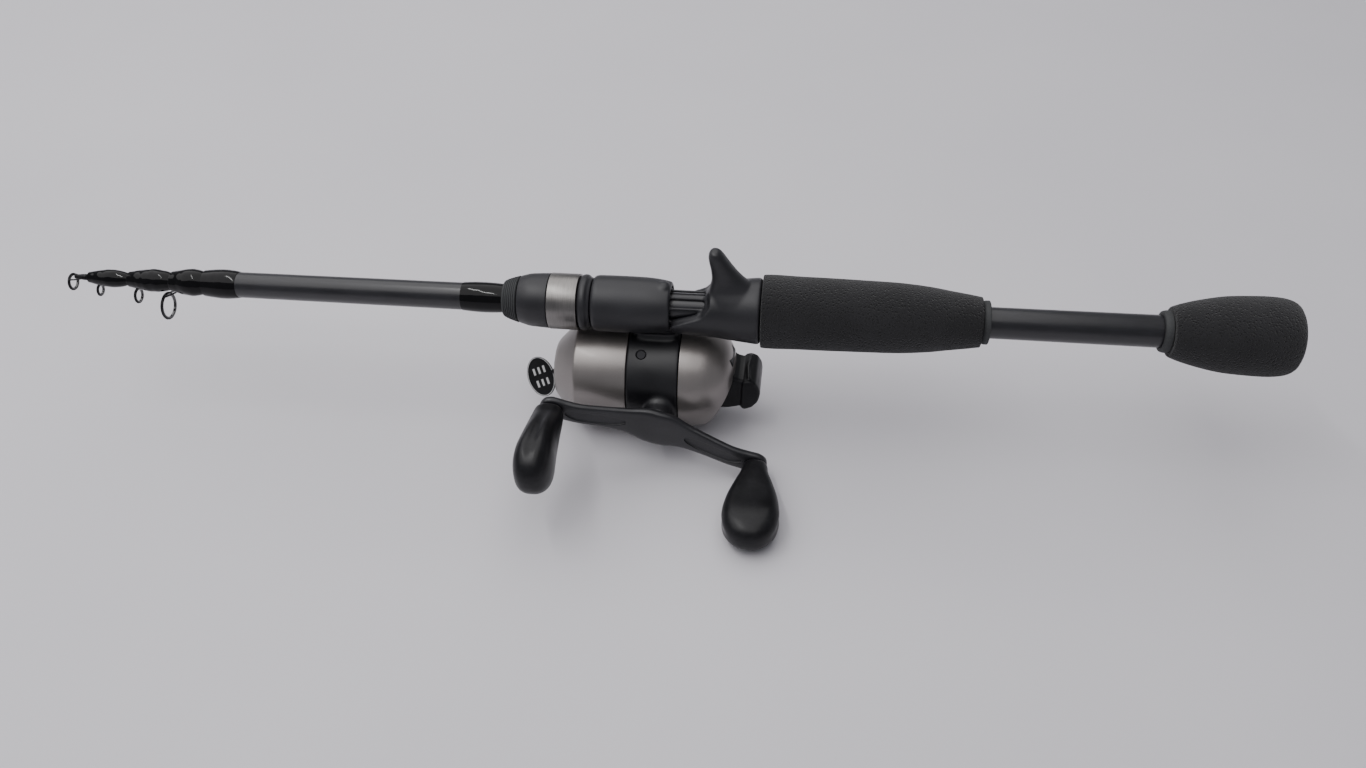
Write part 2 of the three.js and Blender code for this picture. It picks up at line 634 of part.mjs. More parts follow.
function makeButton() {
  const { pivotX, pivotZ, reach, pushX } = button;
  const lug = centredSlab([
    [pivotX - 2.4, pivotZ - 5.5], [pivotX - 2.4, pivotZ + 1.6], [pivotX - 1, pivotZ + 2.2],
    [pivotX + 5.5, pivotZ + 1.7], [pivotX + 8, pivotZ - 0.5], [pivotX + 8, pivotZ - 5.5],
  ], button.lugWidth);
  const skirt = centredSlab([
    [pushX, -3], [pushX, 2], [pivotX - 2, pivotZ - 4.5], [pivotX + 7, pivotZ - 4.5],
    [pivotX + 12, pivotZ - 6.3], [pivotX + 11, -10], [pivotX + 4, -12], [pushX - 4.8, -13.5],
  ], button.skirtWidth);
  const pad = centredSlab([
    [reach - 8.5, 8], [reach - 6, 9], [reach - 2.4, 7], [reach - 0.4, 2.5], [reach, -2], [reach - 1.2, -6.5],
    [reach - 4, -10], [reach - 8, -11.8], [reach - 9.6, -10.6], [reach - 9.2, 0],
  ], button.padWidth);
  const bore = rodAlongY(-20, 20, pinRadius + slip, 12).translate([pivotX, 0, pivotZ]);
  return join(lug, skirt, pad).subtract(bore);
}

// Spool, drag and pick-up, all on the reel's axis.
const spoolBore = deck.bossRadius + slip;
place("drag_washer", sleeve([
  [spool.rear + gap, spoolBore, dragWasherRadius], [deck.front - gap, spoolBore, dragWasherRadius],
]), foamBlack, reel);
place("spool", sleeve([
  [spool.front, spoolBore, spoolRadius], [spool.front + spool.flange, spoolBore, spoolRadius],
  [spool.front + spool.flange + 0.01, spoolBore, spool.hubRadius],
  [spool.rear - spool.flange - 0.01, spoolBore, spool.hubRadius],
  [spool.rear - spool.flange, spoolBore, spoolRadius], [spool.rear, spoolBore, spoolRadius],
]), innerPlastic, reel);
const woundFrom = spool.front + spool.flange + gap;
const woundTo = spool.rear - spool.flange - gap;
const woundRadius = spoolRadius - spool.unfilled;
place("wound_line", sleeve([
  [woundFrom, spool.hubRadius + bond, woundRadius], [woundTo, spool.hubRadius + bond, woundRadius],
]), lineClear, reel);

const pushEnd = button.pushX - gap;
const shaftFront = spinner.front - 4;
const pinionContact = Math.sqrt(((crown.toothIn + crown.toothOut) / 2) ** 2 - crankZ ** 2);
const pinionFace = 4;
const pinionFront = deck.bossFront - 0.8;
place("centre_shaft", makeCentreShaft(), steel, reel);
place("shaft_spring", makeSpring(), steel, reel);
place("pinion", makePinion(), brass, reel);

function makeCentreShaft() {
  const collarTo = pushEnd - shaftCollar.fromEnd;
  const collar = rodAlongX(collarTo - shaftCollar.length, collarTo, shaftCollar.radius, 16);
  return rodAlongX(shaftFront, pushEnd, shaftRadius, 12).add(collar);
}

// The return spring is as short as it is with the button held down, so it needs no room to move in.
function makeSpring() {
  const stepsPerTurn = 10;
  const steps = spring.turns * stepsPerTurn;
  const mean = shaftRadius + slip + spring.wireRadius + spring.room;
  const to = pushEnd - shaftCollar.fromEnd - shaftCollar.length - gap - spring.wireRadius;
  const points = Array.from({ length: steps + 1 }, (_, k) => {
    const angle = (k / stepsPerTurn) * 2 * Math.PI;
    const x = THREE.MathUtils.lerp(to - spring.length, to, k / steps);
    return [x, mean * Math.cos(angle), mean * Math.sin(angle)];
  });
  return wire(points, spring.wireRadius, steps, 5);
}

function makePinion() {
  const outline = [];
  const pitch = (2 * Math.PI) / pinionTeeth;
  for (let k = 0; k < pinionTeeth; k += 1) {
    const middle = k * pitch + Math.PI;
    const edges = [
      [pinion.rootRadius, -pinion.rootWidth], [pinion.radius, -pinion.tipWidth],
      [pinion.radius, pinion.tipWidth], [pinion.rootRadius, pinion.rootWidth],
    ];
    edges.forEach(([radius, width]) => {
      const angle = middle + width / 2 / radius;
      outline.push([radius * Math.cos(angle), radius * Math.sin(angle)]);
    });
  }
  const shape = new THREE.Shape(outline.map(([y, z]) => new THREE.Vector2(y, z)));
  const teeth = new THREE.ExtrudeGeometry(shape, { depth: pinionFace, bevelEnabled: false })
    .applyMatrix4(new THREE.Matrix4().makeBasis(
      new THREE.Vector3(0, 1, 0), new THREE.Vector3(0, 0, 1), new THREE.Vector3(1, 0, 0),
    ))
    .translate(pinionContact - pinionFace / 2, 0, 0);
  const hub = rodAlongX(pinionFront, pinionContact, pinion.sleeveRadius, 12);
  const bore = rodAlongX(pinionFront - 1, pinionContact + pinionFace, shaftRadius + slip, 12);
  return solidOf(teeth).add(hub).subtract(bore);
}

const pinBoreRadius = pickup.radius + slip;
const pickupTop = spinnerRadius + pickup.proud;
place("spinner_head", makeSpinner(), brightTrim, reel);
const spinnerNutTo = spinner.front - gap;
place("spinner_nut", sleeve([
  [spinnerNutTo - spinnerNut.length, shaftRadius + bond, spinnerNut.radius],
  [spinnerNutTo, shaftRadius + bond, spinnerNut.radius],
], 12), brass, reel);
const pickupPin = rodAlongX(pickupTop - pickup.length, pickupTop, pickup.radius, 12)
  .rotate([0, -90, 0])
  .translate([pickup.x, 0, 0]);
place("pickup_pin", pickupPin, steel, reel);

function makeSpinner() {
  const inner = spinnerRadius - spinner.wall;
  const cup = turned([
    [spinner.front, shaftRadius + bond], [spinner.front, spinnerRadius - 1],
    [spinner.front + 1, spinnerRadius],
    [spinner.rimTo, spinnerRadius], [spinner.rimTo, inner], [spinner.front + spinner.disc, inner],
    [spinner.front + spinner.disc, shaftRadius + bond], [spinner.front, shaftRadius + bond],
  ]);
  const pinHole = rodAlongX(inner - 2, spinnerRadius + 2, pinBoreRadius, 12).rotate([0, -90, 0]);
  return cup.subtract(pinHole.translate([pickup.x, 0, 0]));
}

place("drag_dial", makeDial(), glossBlack, reel);

function makeDial() {
  const outline = polar(2 * dial.ridges, 1).map(([a, b], k) => {
    const radius = dial.radius - (k % 2) * 0.5;
    return new THREE.Vector2(radius * a, radius * b);
  });
  const wheel = new THREE.ExtrudeGeometry(
    new THREE.Shape(outline), { depth: dial.thickness, bevelEnabled: false },
  ).rotateY(Math.PI / 2).translate(dial.from, 0, 0);
  const bore = rodAlongX(dial.from - 1, dial.from + dial.thickness + 1, dial.postRadius + slip, 12);
  return solidOf(wheel).subtract(bore).translate([0, dialY, 0]);
}

// Crank -------------------------------------------------------------------------------------------------

const drive = new THREE.Group();
drive.position.z = -crankDrop;
group.add(drive);
const crownFace = -pinion.radius - slip;
const crownBack = crownFace - crown.thickness;
const gearMiddle = (crown.toothIn + crown.toothOut) / 2;

place("crank_shaft", rodAlongY(crank.hubY + 1.4, crownFace, crank.shaftRadius), steel, drive);
const bushingBore = crank.shaftRadius + slip;
place("crank_bushing", sleeveAlongY([
  [bushing.from, bushingBore, bushingRadius], [bushing.to, bushingBore, bushingRadius],
], 20), brass, drive);
const driveGear = place("drive_gear", makeCrownGear(), brass, drive);
driveGear.rotation.y = -Math.asin(-crankZ / gearMiddle) - Math.PI / crownTeeth; // meshes with the pinion
place("ratchet_wheel", makeRatchet(), steel, drive);
place("pawl", makePawl(), steel, drive);

function makeCrownGear() {
  const disc = sleeveAlongY([
    [crownBack, crank.shaftRadius + bond, crown.radius], [crownFace, crank.shaftRadius + bond, crown.radius],
  ], 36);
  const tooth = block(
    [crown.toothIn, crownFace - 0.2, -crown.toothWidth / 2],
    [crown.toothOut, -pinion.radius + crown.engaged, crown.toothWidth / 2],
  );
  const teeth = Array.from({ length: crownTeeth }, (_, k) => tooth.rotate([0, (k * 360) / crownTeeth, 0]));
  return join(disc, ...teeth);
}

// Teeth with one steep side. The pawl drops in along a tooth's long side, its tip against the next
// steep side.
function makeRatchet() {
  const pitch = (2 * Math.PI) / ratchet.teeth;
  const steep = pitch * 0.13;
  const firstPeak = Math.atan2(pawl.pivotZ, pawl.tipX) + pawl.lead;
  const outline = [];
  for (let k = 0; k < ratchet.teeth; k += 1) {
    const peak = firstPeak + k * pitch;
    const root = peak - steep;
    outline.push([ratchet.rootRadius * Math.cos(root), ratchet.rootRadius * Math.sin(root)]);
    outline.push([ratchet.radius * Math.cos(peak), ratchet.radius * Math.sin(peak)]);
  }
  const to = ratchet.from + ratchet.thickness;
  const bore = rodAlongY(ratchet.from - 1, to + 1, crank.shaftRadius + bond);
  return slab(outline, ratchet.from, to).subtract(bore);
}

// The pawl stands lifted clear of the turning teeth by a few degrees.
function makePawl() {
  const { pivotX, pivotZ, radius, tipX, tipHeight } = pawl;
  const to = ratchet.from + ratchet.thickness;
  const arm = slab([
    [pivotX, pivotZ + radius * 0.6], [tipX - 1.8, pivotZ - 0.1], [tipX, pivotZ], [tipX, pivotZ - tipHeight],
    [pivotX, pivotZ - radius * 0.9],
  ], ratchet.from, to);
  const eye = rodAlongY(ratchet.from, to, radius, 16).translate([pivotX, 0, pivotZ]);
  const bore = rodAlongY(ratchet.from - 1, to + 1, pinRadius + slip, 12).translate([pivotX, 0, pivotZ]);
  return eye.add(arm).subtract(bore)
    .translate([-pivotX, 0, -pivotZ]).rotate([0, pawl.lifted, 0]).translate([pivotX, 0, pivotZ]);
}

const turnedCrank = new THREE.Group();
turnedCrank.rotation.y = crank.angle;
drive.add(turnedCrank);
const armBack = crank.endY + crank.thickness;
place("crank_arm", makeArm(), satinBlack, turnedCrank);

// The arm's front view, a long lozenge with round ends, is cut through its top view, a shallow bow.
function makeArm() {
  const { halfLength, hubY, endY, thickness } = crank;
  const right = [
    [9, arm.hubHalf - 0.8], [17, arm.rootHalf], [halfLength - 6, arm.midHalf], [halfLength, arm.endHalf],
    [halfLength + 4, arm.endHalf * 0.65], [halfLength + 5, 0],
  ];
  const lower = right.slice(0, -1).reverse().map(([x, z]) => [x, -z]);
  const left = right.map(([x, z]) => [-x, -z]);
  const upper = right.slice(0, -1).reverse().map(([x, z]) => [-x, z]);
  const outline = [[0, arm.hubHalf], ...right, ...lower, [0, -arm.hubHalf], ...left, ...upper];
  const front = slab(outline, endY - 1, hubY + thickness + 1);
  const outer = [[9, hubY], [halfLength * 0.72, endY + 0.8], [halfLength + 6, endY]];
  const inner = outer.map(([x, y]) => [x, y + thickness]).reverse();
  const bow = [...outer, ...inner];
  const mirrored = bow.map(([x, y]) => [-x, y]).reverse();
  const plan = new THREE.Shape([...bow, ...mirrored].map(([x, y]) => new THREE.Vector2(x, y)));
  const tall = new THREE.ExtrudeGeometry(plan, { depth: 30, bevelEnabled: false }).translate(0, 0, -15);
  const hub = rodAlongY(hubY + 2, bushing.from - gap, crank.shaftRadius + 2.4, 16);
  const socket = rodAlongY(hubY + 1.4 - gap, 0, crank.shaftRadius + bond);
  const rivetBore = rodAlongY(-60, 0, rivet.radius + bond, 12);
  return join(front.intersect(solidOf(tall)), hub)
    .subtract(socket)
    .subtract(rivetBore.translate([halfLength, 0, 0]))
    .subtract(rivetBore.translate([-halfLength, 0, 0]));
}

[["front", -1, Math.PI / 2], ["rear", 1, 0]].forEach(([end, side, roll]) => {
  const x = side * crank.halfLength;
  place("knob_rivet_" + end, makeRivet(), steel, turnedCrank).position.x = x;
  const handle = place("knob_" + end, makePaddle(), glossBlack, turnedCrank);
  handle.position.x = x;
  handle.rotation.y = roll - crank.angle;
});

function makeRivet() {
  const headFrom = armBack + rivet.headFrom;
  const head = rodAlongY(headFrom, headFrom + rivet.headHeight, rivet.radius + rivet.headRoom, 12);
  return rodAlongY(paddle.to + 6, headFrom + rivet.headHeight / 2, rivet.radius, 12).add(head);
}

// A paddle handle: narrow at its neck, broad and flattened at its far end.
function makePaddle() {
  const { from, to, halfWidth, halfThickness, stalk } = paddle;
  const outline = (full) => {
    const swell = (share) => THREE.MathUtils.lerp(stalk, full, share);
    const side = [
      [stalk, 0], [swell(0.12), 0.1], [swell(0.55), 0.3], [swell(0.88), 0.5], [full, 0.7],
      [full * 0.86, 0.87], [full * 0.45, 1],
    ].map(([half, along]) => [half, THREE.MathUtils.lerp(from, to, along)]);
    const mirrored = side.map(([half, y]) => [-half, y]).reverse();
    return new THREE.Shape([...side, ...mirrored].map(([half, y]) => new THREE.Vector2(half, y)));
  };
  const cut = (full) =>
    new THREE.ExtrudeGeometry(outline(full), { depth: 40, bevelEnabled: false }).translate(0, 0, -20);
  const broad = solidOf(cut(halfWidth));
  const thin = solidOf(cut(halfThickness).rotateY(Math.PI / 2));
  return broad.intersect(thin).subtract(rodAlongY(to + 5, 0, rivet.radius + slip, 12));
}

// Line tag: an oval plate on a short neck in the nose eyelet, where the line's end leaves the reel.
const tag = new THREE.Group();
tag.position.set(nose.front + 0.3, 0, -reelDrop);
group.add(tag);
place("line_tag", makeTag(), satinBlack, tag);

function makeTag() {
  const { halfLong, halfShort, thickness, neckRadius, centre } = lineTag;
  const outline = new THREE.Shape().absellipse(0, 0, halfLong, halfShort, 0, 2 * Math.PI);
  const depth = { depth: thickness, bevelEnabled: false, curveSegments: 12 };
  const plate = new THREE.ExtrudeGeometry(outline, depth)
    .translate(0, 0, -thickness / 2)
    .applyMatrix4(new THREE.Matrix4().makeBasis(...tagAxes()))
    .translate(...centre);
  return solidOf(plate).add(wire([[0, 0, 0], [-2.4, -0.1, -1.8], [-5, -0.4, -4.2]], neckRadius, 4));
}

// The plate's long way, its short way and its face, which looks up and out.
function tagAxes() {
  const face = new THREE.Vector3(-0.1, -0.76, 0.64).normalize();
  const long = new THREE.Vector3(0.4, -0.55, -0.75);
  long.addScaledVector(face, -long.dot(face)).normalize();
  return [long, face.clone().cross(long), face];
}

// The origin moves to the middle of the underside.
const box = new THREE.Box3().setFromObject(group, true);
const middle = box.getCenter(new THREE.Vector3());
const shift = new THREE.Vector3(-middle.x, -middle.y, -box.min.z);
group.children.forEach((child) => child.position.add(shift));

export default group;
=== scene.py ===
from math import ceil, cos, exp, pi, radians, sin

import bmesh
import bpy
from mathutils import Matrix, Vector, noise


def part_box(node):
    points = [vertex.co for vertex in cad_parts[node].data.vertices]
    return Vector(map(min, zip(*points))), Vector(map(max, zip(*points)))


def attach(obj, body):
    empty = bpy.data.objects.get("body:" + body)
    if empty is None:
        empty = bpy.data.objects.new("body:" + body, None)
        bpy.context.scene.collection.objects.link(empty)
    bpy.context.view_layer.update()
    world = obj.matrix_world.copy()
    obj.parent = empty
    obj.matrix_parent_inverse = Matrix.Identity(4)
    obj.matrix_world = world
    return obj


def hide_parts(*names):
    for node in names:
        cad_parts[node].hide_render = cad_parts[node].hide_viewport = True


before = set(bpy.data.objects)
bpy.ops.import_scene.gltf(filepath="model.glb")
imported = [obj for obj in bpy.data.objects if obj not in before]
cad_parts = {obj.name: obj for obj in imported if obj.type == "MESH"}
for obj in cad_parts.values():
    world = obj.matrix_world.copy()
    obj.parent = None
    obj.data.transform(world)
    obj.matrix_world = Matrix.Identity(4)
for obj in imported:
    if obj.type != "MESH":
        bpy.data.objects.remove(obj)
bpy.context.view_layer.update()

toMetres = 0.001  # lengths are millimetres until a piece is finished


def nodeBox(node):
    low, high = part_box(node)
    return low / toMetres, high / toMetres


def middleOf(node):
    low, high = nodeBox(node)
    return (low + high) / 2


# The rod's zero lies on the blank's axis, 46 mm in front of the rear grip.
gripFrom = 46
rodZero = Vector((nodeBox("rear_grip")[0].x - gripFrom, middleOf("rear_grip").y, middleOf("rear_grip").z))
reelZero = Vector((rodZero.x, rodZero.y, middleOf("front_cover").z))
crankZero = Vector((rodZero.x, rodZero.y, middleOf("crank_shaft").z))
reelDrop = rodZero.z - reelZero.z


# Camera and light
cameraPlace = {
    "at": (74.08, -379.89, 393.67), "turn": -0.14268, "tilt": -0.73378, "roll": -0.03827, "lens": 30.307,
}


def makeCamera():
    turn, tilt, roll = cameraPlace["turn"], cameraPlace["tilt"], cameraPlace["roll"]
    ahead = Vector((sin(turn) * cos(tilt), cos(turn) * cos(tilt), sin(tilt)))
    right = Vector((cos(turn), -sin(turn), 0))
    up = right.cross(ahead)
    rolledRight = cos(roll) * right + sin(roll) * up
    rolledUp = cos(roll) * up - sin(roll) * right
    data = bpy.data.cameras.new("camera")
    data.lens = cameraPlace["lens"]
    data.sensor_width = 36
    data.clip_start, data.clip_end = 0.01, 20
    camera = bpy.data.objects.new("camera", data)
    axes = Matrix((rolledRight, rolledUp, -ahead)).transposed().to_4x4()
    camera.matrix_world = Matrix.Translation(Vector(cameraPlace["at"]) * toMetres) @ axes
    bpy.context.scene.collection.objects.link(camera)
    bpy.context.scene.camera = camera


def makePanel(name, at, aim, size, power, colour):
    data = bpy.data.lights.new(name, "AREA")
    data.shape = "RECTANGLE"
    data.size, data.size_y = size
    data.energy = power
    data.color = colour
    panel = bpy.data.objects.new(name, data)
    toward = (Vector(aim) - Vector(at)).normalized()
    panel.matrix_world = Matrix.Translation(Vector(at)) @ toward.to_track_quat("-Z", "Y").to_matrix().to_4x4()
    bpy.context.scene.collection.objects.link(panel)


makeCamera()
# Places and sizes of the lights are metres: a broad ceiling panel, and a narrow lamp for thin highlights.
lights = {
    "ceiling_panel": {
        "at": (-0.7, 0.55, 1.5), "aim": (-0.7, 0.55, 0), "size": (2.8, 3.5), "power": 48,
        "colour": (1, 0.985, 0.99),
    },
    "strip_lamp": {
        "at": (-0.45, -0.1, 1.3), "aim": (-0.2, 0, 0.05), "size": (0.9, 0.03), "power": 3.6,
        "colour": (1, 1, 1),
    },
}
for name, values in lights.items():
    makePanel(name, **values)
print("camera and lights placed")


# Materials: patterns are given by a real size in millimetres, which perMetre turns into a noise scale.
def linear(hexColour):
    parts = [int(hexColour[i:i + 2], 16) / 255 for i in (1, 3, 5)]
    return [p / 12.92 if p <= 0.04045 else ((p + 0.055) / 1.055) ** 2.4 for p in parts] + [1]


def perMetre(size):
    return 1 / (size * toMetres)


def addNode(tree, kind, inputs, **settings):
    made = tree.nodes.new(kind)
    for key, value in settings.items():
        setattr(made, key, value)
    for key, value in inputs.items():
        if isinstance(value, bpy.types.NodeSocket):
            tree.links.new(value, made.inputs[key])
        else:
            made.inputs[key].default_value = value
    return made


# A finish has two close colours mixed by a pattern, a roughness that varies a little, and a bump.
def finish(name, colours, roughness, grain, height, **shader):
    material = bpy.data.materials.new(name)
    material.use_nodes = True
    tree = material.node_tree
    tree.nodes.clear()
    place = addNode(tree, "ShaderNodeTexCoord", {}).outputs["Object"]
    stretch = grain.get("stretch", (1, 1, 1))
    laid = addNode(tree, "ShaderNodeMapping", {"Vector": place, "Scale": stretch}).outputs["Vector"]
    fine = addNode(tree, "ShaderNodeTexNoise", {
        "Vector": laid, "Scale": perMetre(grain["size"]), "Detail": grain.get("detail", 3), "Roughness": 0.6,
    }).outputs["Fac"]
    broad = addNode(tree, "ShaderNodeTexNoise", {
        "Vector": place, "Scale": perMetre(grain.get("patch", 22)), "Detail": 2,
    }).outputs["Fac"]
    pattern = addNode(tree, "ShaderNodeMath", {0: fine, 1: broad}, operation="MULTIPLY").outputs[0]
    share = addNode(tree, "ShaderNodeMapRange", {
        "Value": pattern, "From Min": 0.12, "From Max": 0.42,
    }).outputs[0]
    colour = addNode(tree, "ShaderNodeMix", {
        0: share, 6: linear(colours[0]), 7: linear(colours[1]),
    }, data_type="RGBA").outputs[2]
    rough = addNode(tree, "ShaderNodeMapRange", {
        "Value": broad, "From Min": 0.3, "From Max": 0.7, "To Min": roughness[0], "To Max": roughness[1],
    }).outputs[0]
    bump = addNode(tree, "ShaderNodeBump", {
        "Height": fine, "Strength": grain.get("strength", 0.5), "Distance": height * toMetres,
    })
    inputs = {"Base Color": colour, "Roughness": rough, "Normal": bump.outputs["Normal"]}
    surface = addNode(tree, "ShaderNodeBsdfPrincipled", {**inputs, **shader})
    addNode(tree, "ShaderNodeOutputMaterial", {"Surface": surface.outputs["BSDF"]})
    return material


# Graphite cloth rolled under a satin clear coat: charcoal black, with faint lengthwise streaks.
graphite = finish("clear_coated_graphite", ("#121216", "#222227"), (0.3, 0.42),
                  {"size": 0.9, "stretch": (0.12, 1, 1), "strength": 0.25}, 0.04,
                  **{"Coat Weight": 0.25, "Coat Roughness": 0.2})
# Rod-building epoxy flowed over black thread: deep gloss, with the thread only just felt under it.
threadEpoxy = finish("epoxy_over_thread", ("#050506", "#0b0b0d"), (0.05, 0.09),
                     {"size": 2.5, "detail": 1, "strength": 0.1}, 0.02,
                     **{"Specular IOR Level": 0.22, "IOR": 1.5})
# Stainless wire with a black oxide skin: dark, slightly worn to grey.
oxideWire = finish("black_oxide_steel", ("#1a1a1c", "#39393b"), (0.3, 0.42),
                   {"size": 0.5, "patch": 4}, 0.01, Metallic=0.8)
# Polished ceramic wear rings.
ceramic = finish("polished_black_ceramic", ("#0a0a0b", "#121214"), (0.06, 0.1), {"size": 0.4}, 0.002, IOR=1.9)
# Injection-moulded reel seat, nylon with glass fibre: satin black with a fine spark-eroded grain.
satinNylon = finish("moulded_glass_filled_nylon", ("#1a1a1d", "#27272b"), (0.38, 0.5),
                    {"size": 0.35, "strength": 0.35}, 0.03)
# Turned aluminium, brushed around and clear anodised, a little warm.
brushedAluminium = finish("brushed_anodised_aluminium", ("#72706e", "#95928f"), (0.28, 0.4),
                          {"size": 0.12, "stretch": (1, 0.02, 0.02), "detail": 2, "strength": 0.6}, 0.02,
                          Metallic=1.0)
# Metallic lacquer on the moulded covers: champagne grey with a fine flake.
champagneLacquer = finish("champagne_metallic_lacquer", ("#878280", "#9f9a96"), (0.34, 0.42),
                          {"size": 0.18, "strength": 0.3, "patch": 30}, 0.006,
                          **{"Metallic": 0.75, "Coat Weight": 0.15, "Coat Roughness": 0.12})
# ABS moulding of the reel's body, fine grained.
bodyAbs = finish("moulded_abs_body", ("#0f0f12", "#1a1a1e"), (0.36, 0.5),
                 {"size": 0.3, "strength": 0.35}, 0.03)
# Polished ABS of the button and the paddles: dark gloss with soft handling marks.
glossAbs = finish("polished_black_abs", ("#0f0f11", "#19191c"), (0.28, 0.4), {"size": 1.5, "patch": 9}, 0.01,
                  **{"Specular IOR Level": 0.28})
# Die-cast zinc crank under black electrocoat.
blackCast = finish("electrocoated_zinc", ("#18181b", "#29292d"), (0.32, 0.46),
                   {"size": 0.6, "strength": 0.4}, 0.02,
                   **{"Metallic": 0.2, "Coat Weight": 0.3, "Coat Roughness": 0.25})
# Soft rubber rings, grey with bloom.
ringRubber = finish("nitrile_rubber", ("#28292a", "#3d3f40"), (0.62, 0.8), {"size": 0.4}, 0.03)
# Centreless-ground shaft steel, and small turned pins.
bareSteel = finish("ground_steel", ("#85888b", "#a9acaf"), (0.22, 0.34),
                   {"size": 0.2, "stretch": (1, 0.2, 0.2)}, 0.006, Metallic=1.0)
# Blackened steel of the band's screw.
blackScrew = finish("blackened_steel_screw", ("#1d1d1f", "#2b2b2d"), (0.35, 0.45),
                    {"size": 0.3}, 0.01, Metallic=0.9)
# Free-cutting brass, straight from the lathe.
machinedBrass = finish("machined_brass", ("#a07c36", "#bd9850"), (0.24, 0.36),
                       {"size": 0.25}, 0.008, Metallic=1.0)
# Natural acetal of the spool, slightly creamy.
acetal = finish("moulded_acetal", ("#b9b6ab", "#cecbc0"), (0.4, 0.5), {"size": 0.5}, 0.01)
# Clear nylon line in close turns.
nylonLine = finish("wound_nylon_line", ("#9fb0ac", "#d5e0dc"), (0.18, 0.3),
                   {"size": 0.3, "stretch": (1, 0.05, 0.05), "strength": 0.9}, 0.12,
                   **{"Transmission Weight": 0.25, "IOR": 1.53})
# Pressed wool felt of the drag washer.
pressedFelt = finish("pressed_wool_felt", ("#4a4642", "#6a655f"), (0.9, 1.0),
                     {"size": 0.25, "detail": 5}, 0.12, **{"Sheen Weight": 0.4})
# Pad-printed white ink.
printWhite = finish("white_pad_print", ("#c9cacb", "#dcdcdc"), (0.4, 0.5), {"size": 0.3}, 0.004)


# Closed-cell EVA foam, cut and sanded: matt black, with open pits about 1 mm across and a finer nap. The
# pits' hollows carry painted shade: the colour darkens toward each pit's middle, under a broad random wear
# tone.
foamGrain = {"pit": 1.3, "nap": 0.5, "wear": 28, "depth": 0.5}


def makeEvaFoam():
    material = bpy.data.materials.new("sanded_eva_foam")
    material.use_nodes = True
    tree = material.node_tree
    tree.nodes.clear()
    place = addNode(tree, "ShaderNodeTexCoord", {}).outputs["Object"]
    pits = addNode(tree, "ShaderNodeTexVoronoi", {
        "Vector": place, "Scale": perMetre(foamGrain["pit"]), "Randomness": 1.0,
    }).outputs["Distance"]
    deep = addNode(tree, "ShaderNodeMapRange", {"Value": pits, "From Min": 0.05, "From Max": 0.42}).outputs[0]
    fuzz = addNode(tree, "ShaderNodeTexNoise", {
        "Vector": place, "Scale": perMetre(foamGrain["nap"]), "Detail": 4,
    }).outputs["Fac"]
    worn = addNode(tree, "ShaderNodeTexNoise", {
        "Vector": place, "Scale": perMetre(foamGrain["wear"]), "Detail": 3,
    }).outputs["Fac"]
    height = addNode(tree, "ShaderNodeMath", {0: deep, 1: fuzz}, operation="ADD").outputs[0]
    # Colour mask: painted shade that darkens each pit's hollow, multiplied by a broad random wear tone.
    pitShadeAndWear = addNode(tree, "ShaderNodeMath", {0: deep, 1: worn}, operation="MULTIPLY").outputs[0]
    colour = addNode(tree, "ShaderNodeMix", {
        0: pitShadeAndWear, 6: linear("#060607"), 7: linear("#2b2b2d"),
    }, data_type="RGBA").outputs[2]
    bump = addNode(tree, "ShaderNodeBump", {
        "Height": height, "Strength": 1.0, "Distance": foamGrain["depth"] * toMetres,
    })
    surface = addNode(tree, "ShaderNodeBsdfPrincipled", {
        "Base Color": colour, "Roughness": 0.95, "Normal": bump.outputs["Normal"],
        "Specular IOR Level": 0.25, "Sheen Weight": 0.15, "Sheen Roughness": 0.6,
    })
    addNode(tree, "ShaderNodeOutputMaterial", {"Surface": surface.outputs["BSDF"]})
    return material


evaFoam = makeEvaFoam()
print("materials made:", len(bpy.data.materials))


# Mesh helpers: each gives a bmesh in millimetres about a zero of its own.
# An outline is a list of (along, radius) or (along, radius, corner), spun about X. A closed one makes a ring.
def turned(outline, steps=96, closed=False):
    bm = bmesh.new()
    verts = [bm.verts.new((p[0], 0, p[1])) for p in outline]
    corners = [p[2] if len(p) > 2 else 0 for p in outline]
    ends = len(verts) if closed else len(verts) - 1
    for i in range(ends):
        bm.edges.new((verts[i], verts[(i + 1) % len(verts)]))
    for size in sorted(set(corners) - {0}):
        rounded = [v for v, corner in zip(verts, corners) if corner == size]
        bmesh.ops.bevel(bm, geom=rounded, offset=size, offset_type="OFFSET", affect="VERTICES",
                        segments=4, profile=0.5, material=-1, clamp_overlap=True)
    bmesh.ops.spin(bm, geom=bm.verts[:] + bm.edges[:], cent=(0, 0, 0), axis=(1, 0, 0),
                   angle=2 * pi, steps=steps, use_merge=True)
    bmesh.ops.remove_doubles(bm, verts=bm.verts, dist=0.0005)
    bmesh.ops.recalc_face_normals(bm, faces=bm.faces)
    return bm


# A point between b and c on the smooth curve through a, b, c and d.
def between(a, b, c, d, t):
    square, cube = 2 * a - 5 * b + 4 * c - d, 3 * b - a - 3 * c + d
    return 0.5 * (2 * b + (c - a) * t + square * t * t + cube * t ** 3)


# A smooth line through (along, radius) points, for turning.
def eased(points, step=1.5):
    line = []
    for i in range(len(points) - 1):
        before, here = points[max(i - 1, 0)], points[i]
        there, after = points[i + 1], points[min(i + 2, len(points) - 1)]
        count = max(2, ceil(abs(there[0] - here[0]) / step))
        for k in range(count):
            line.append(tuple(between(*four, k / count) for four in zip(before, here, there, after)))
    return line + [points[-1]]


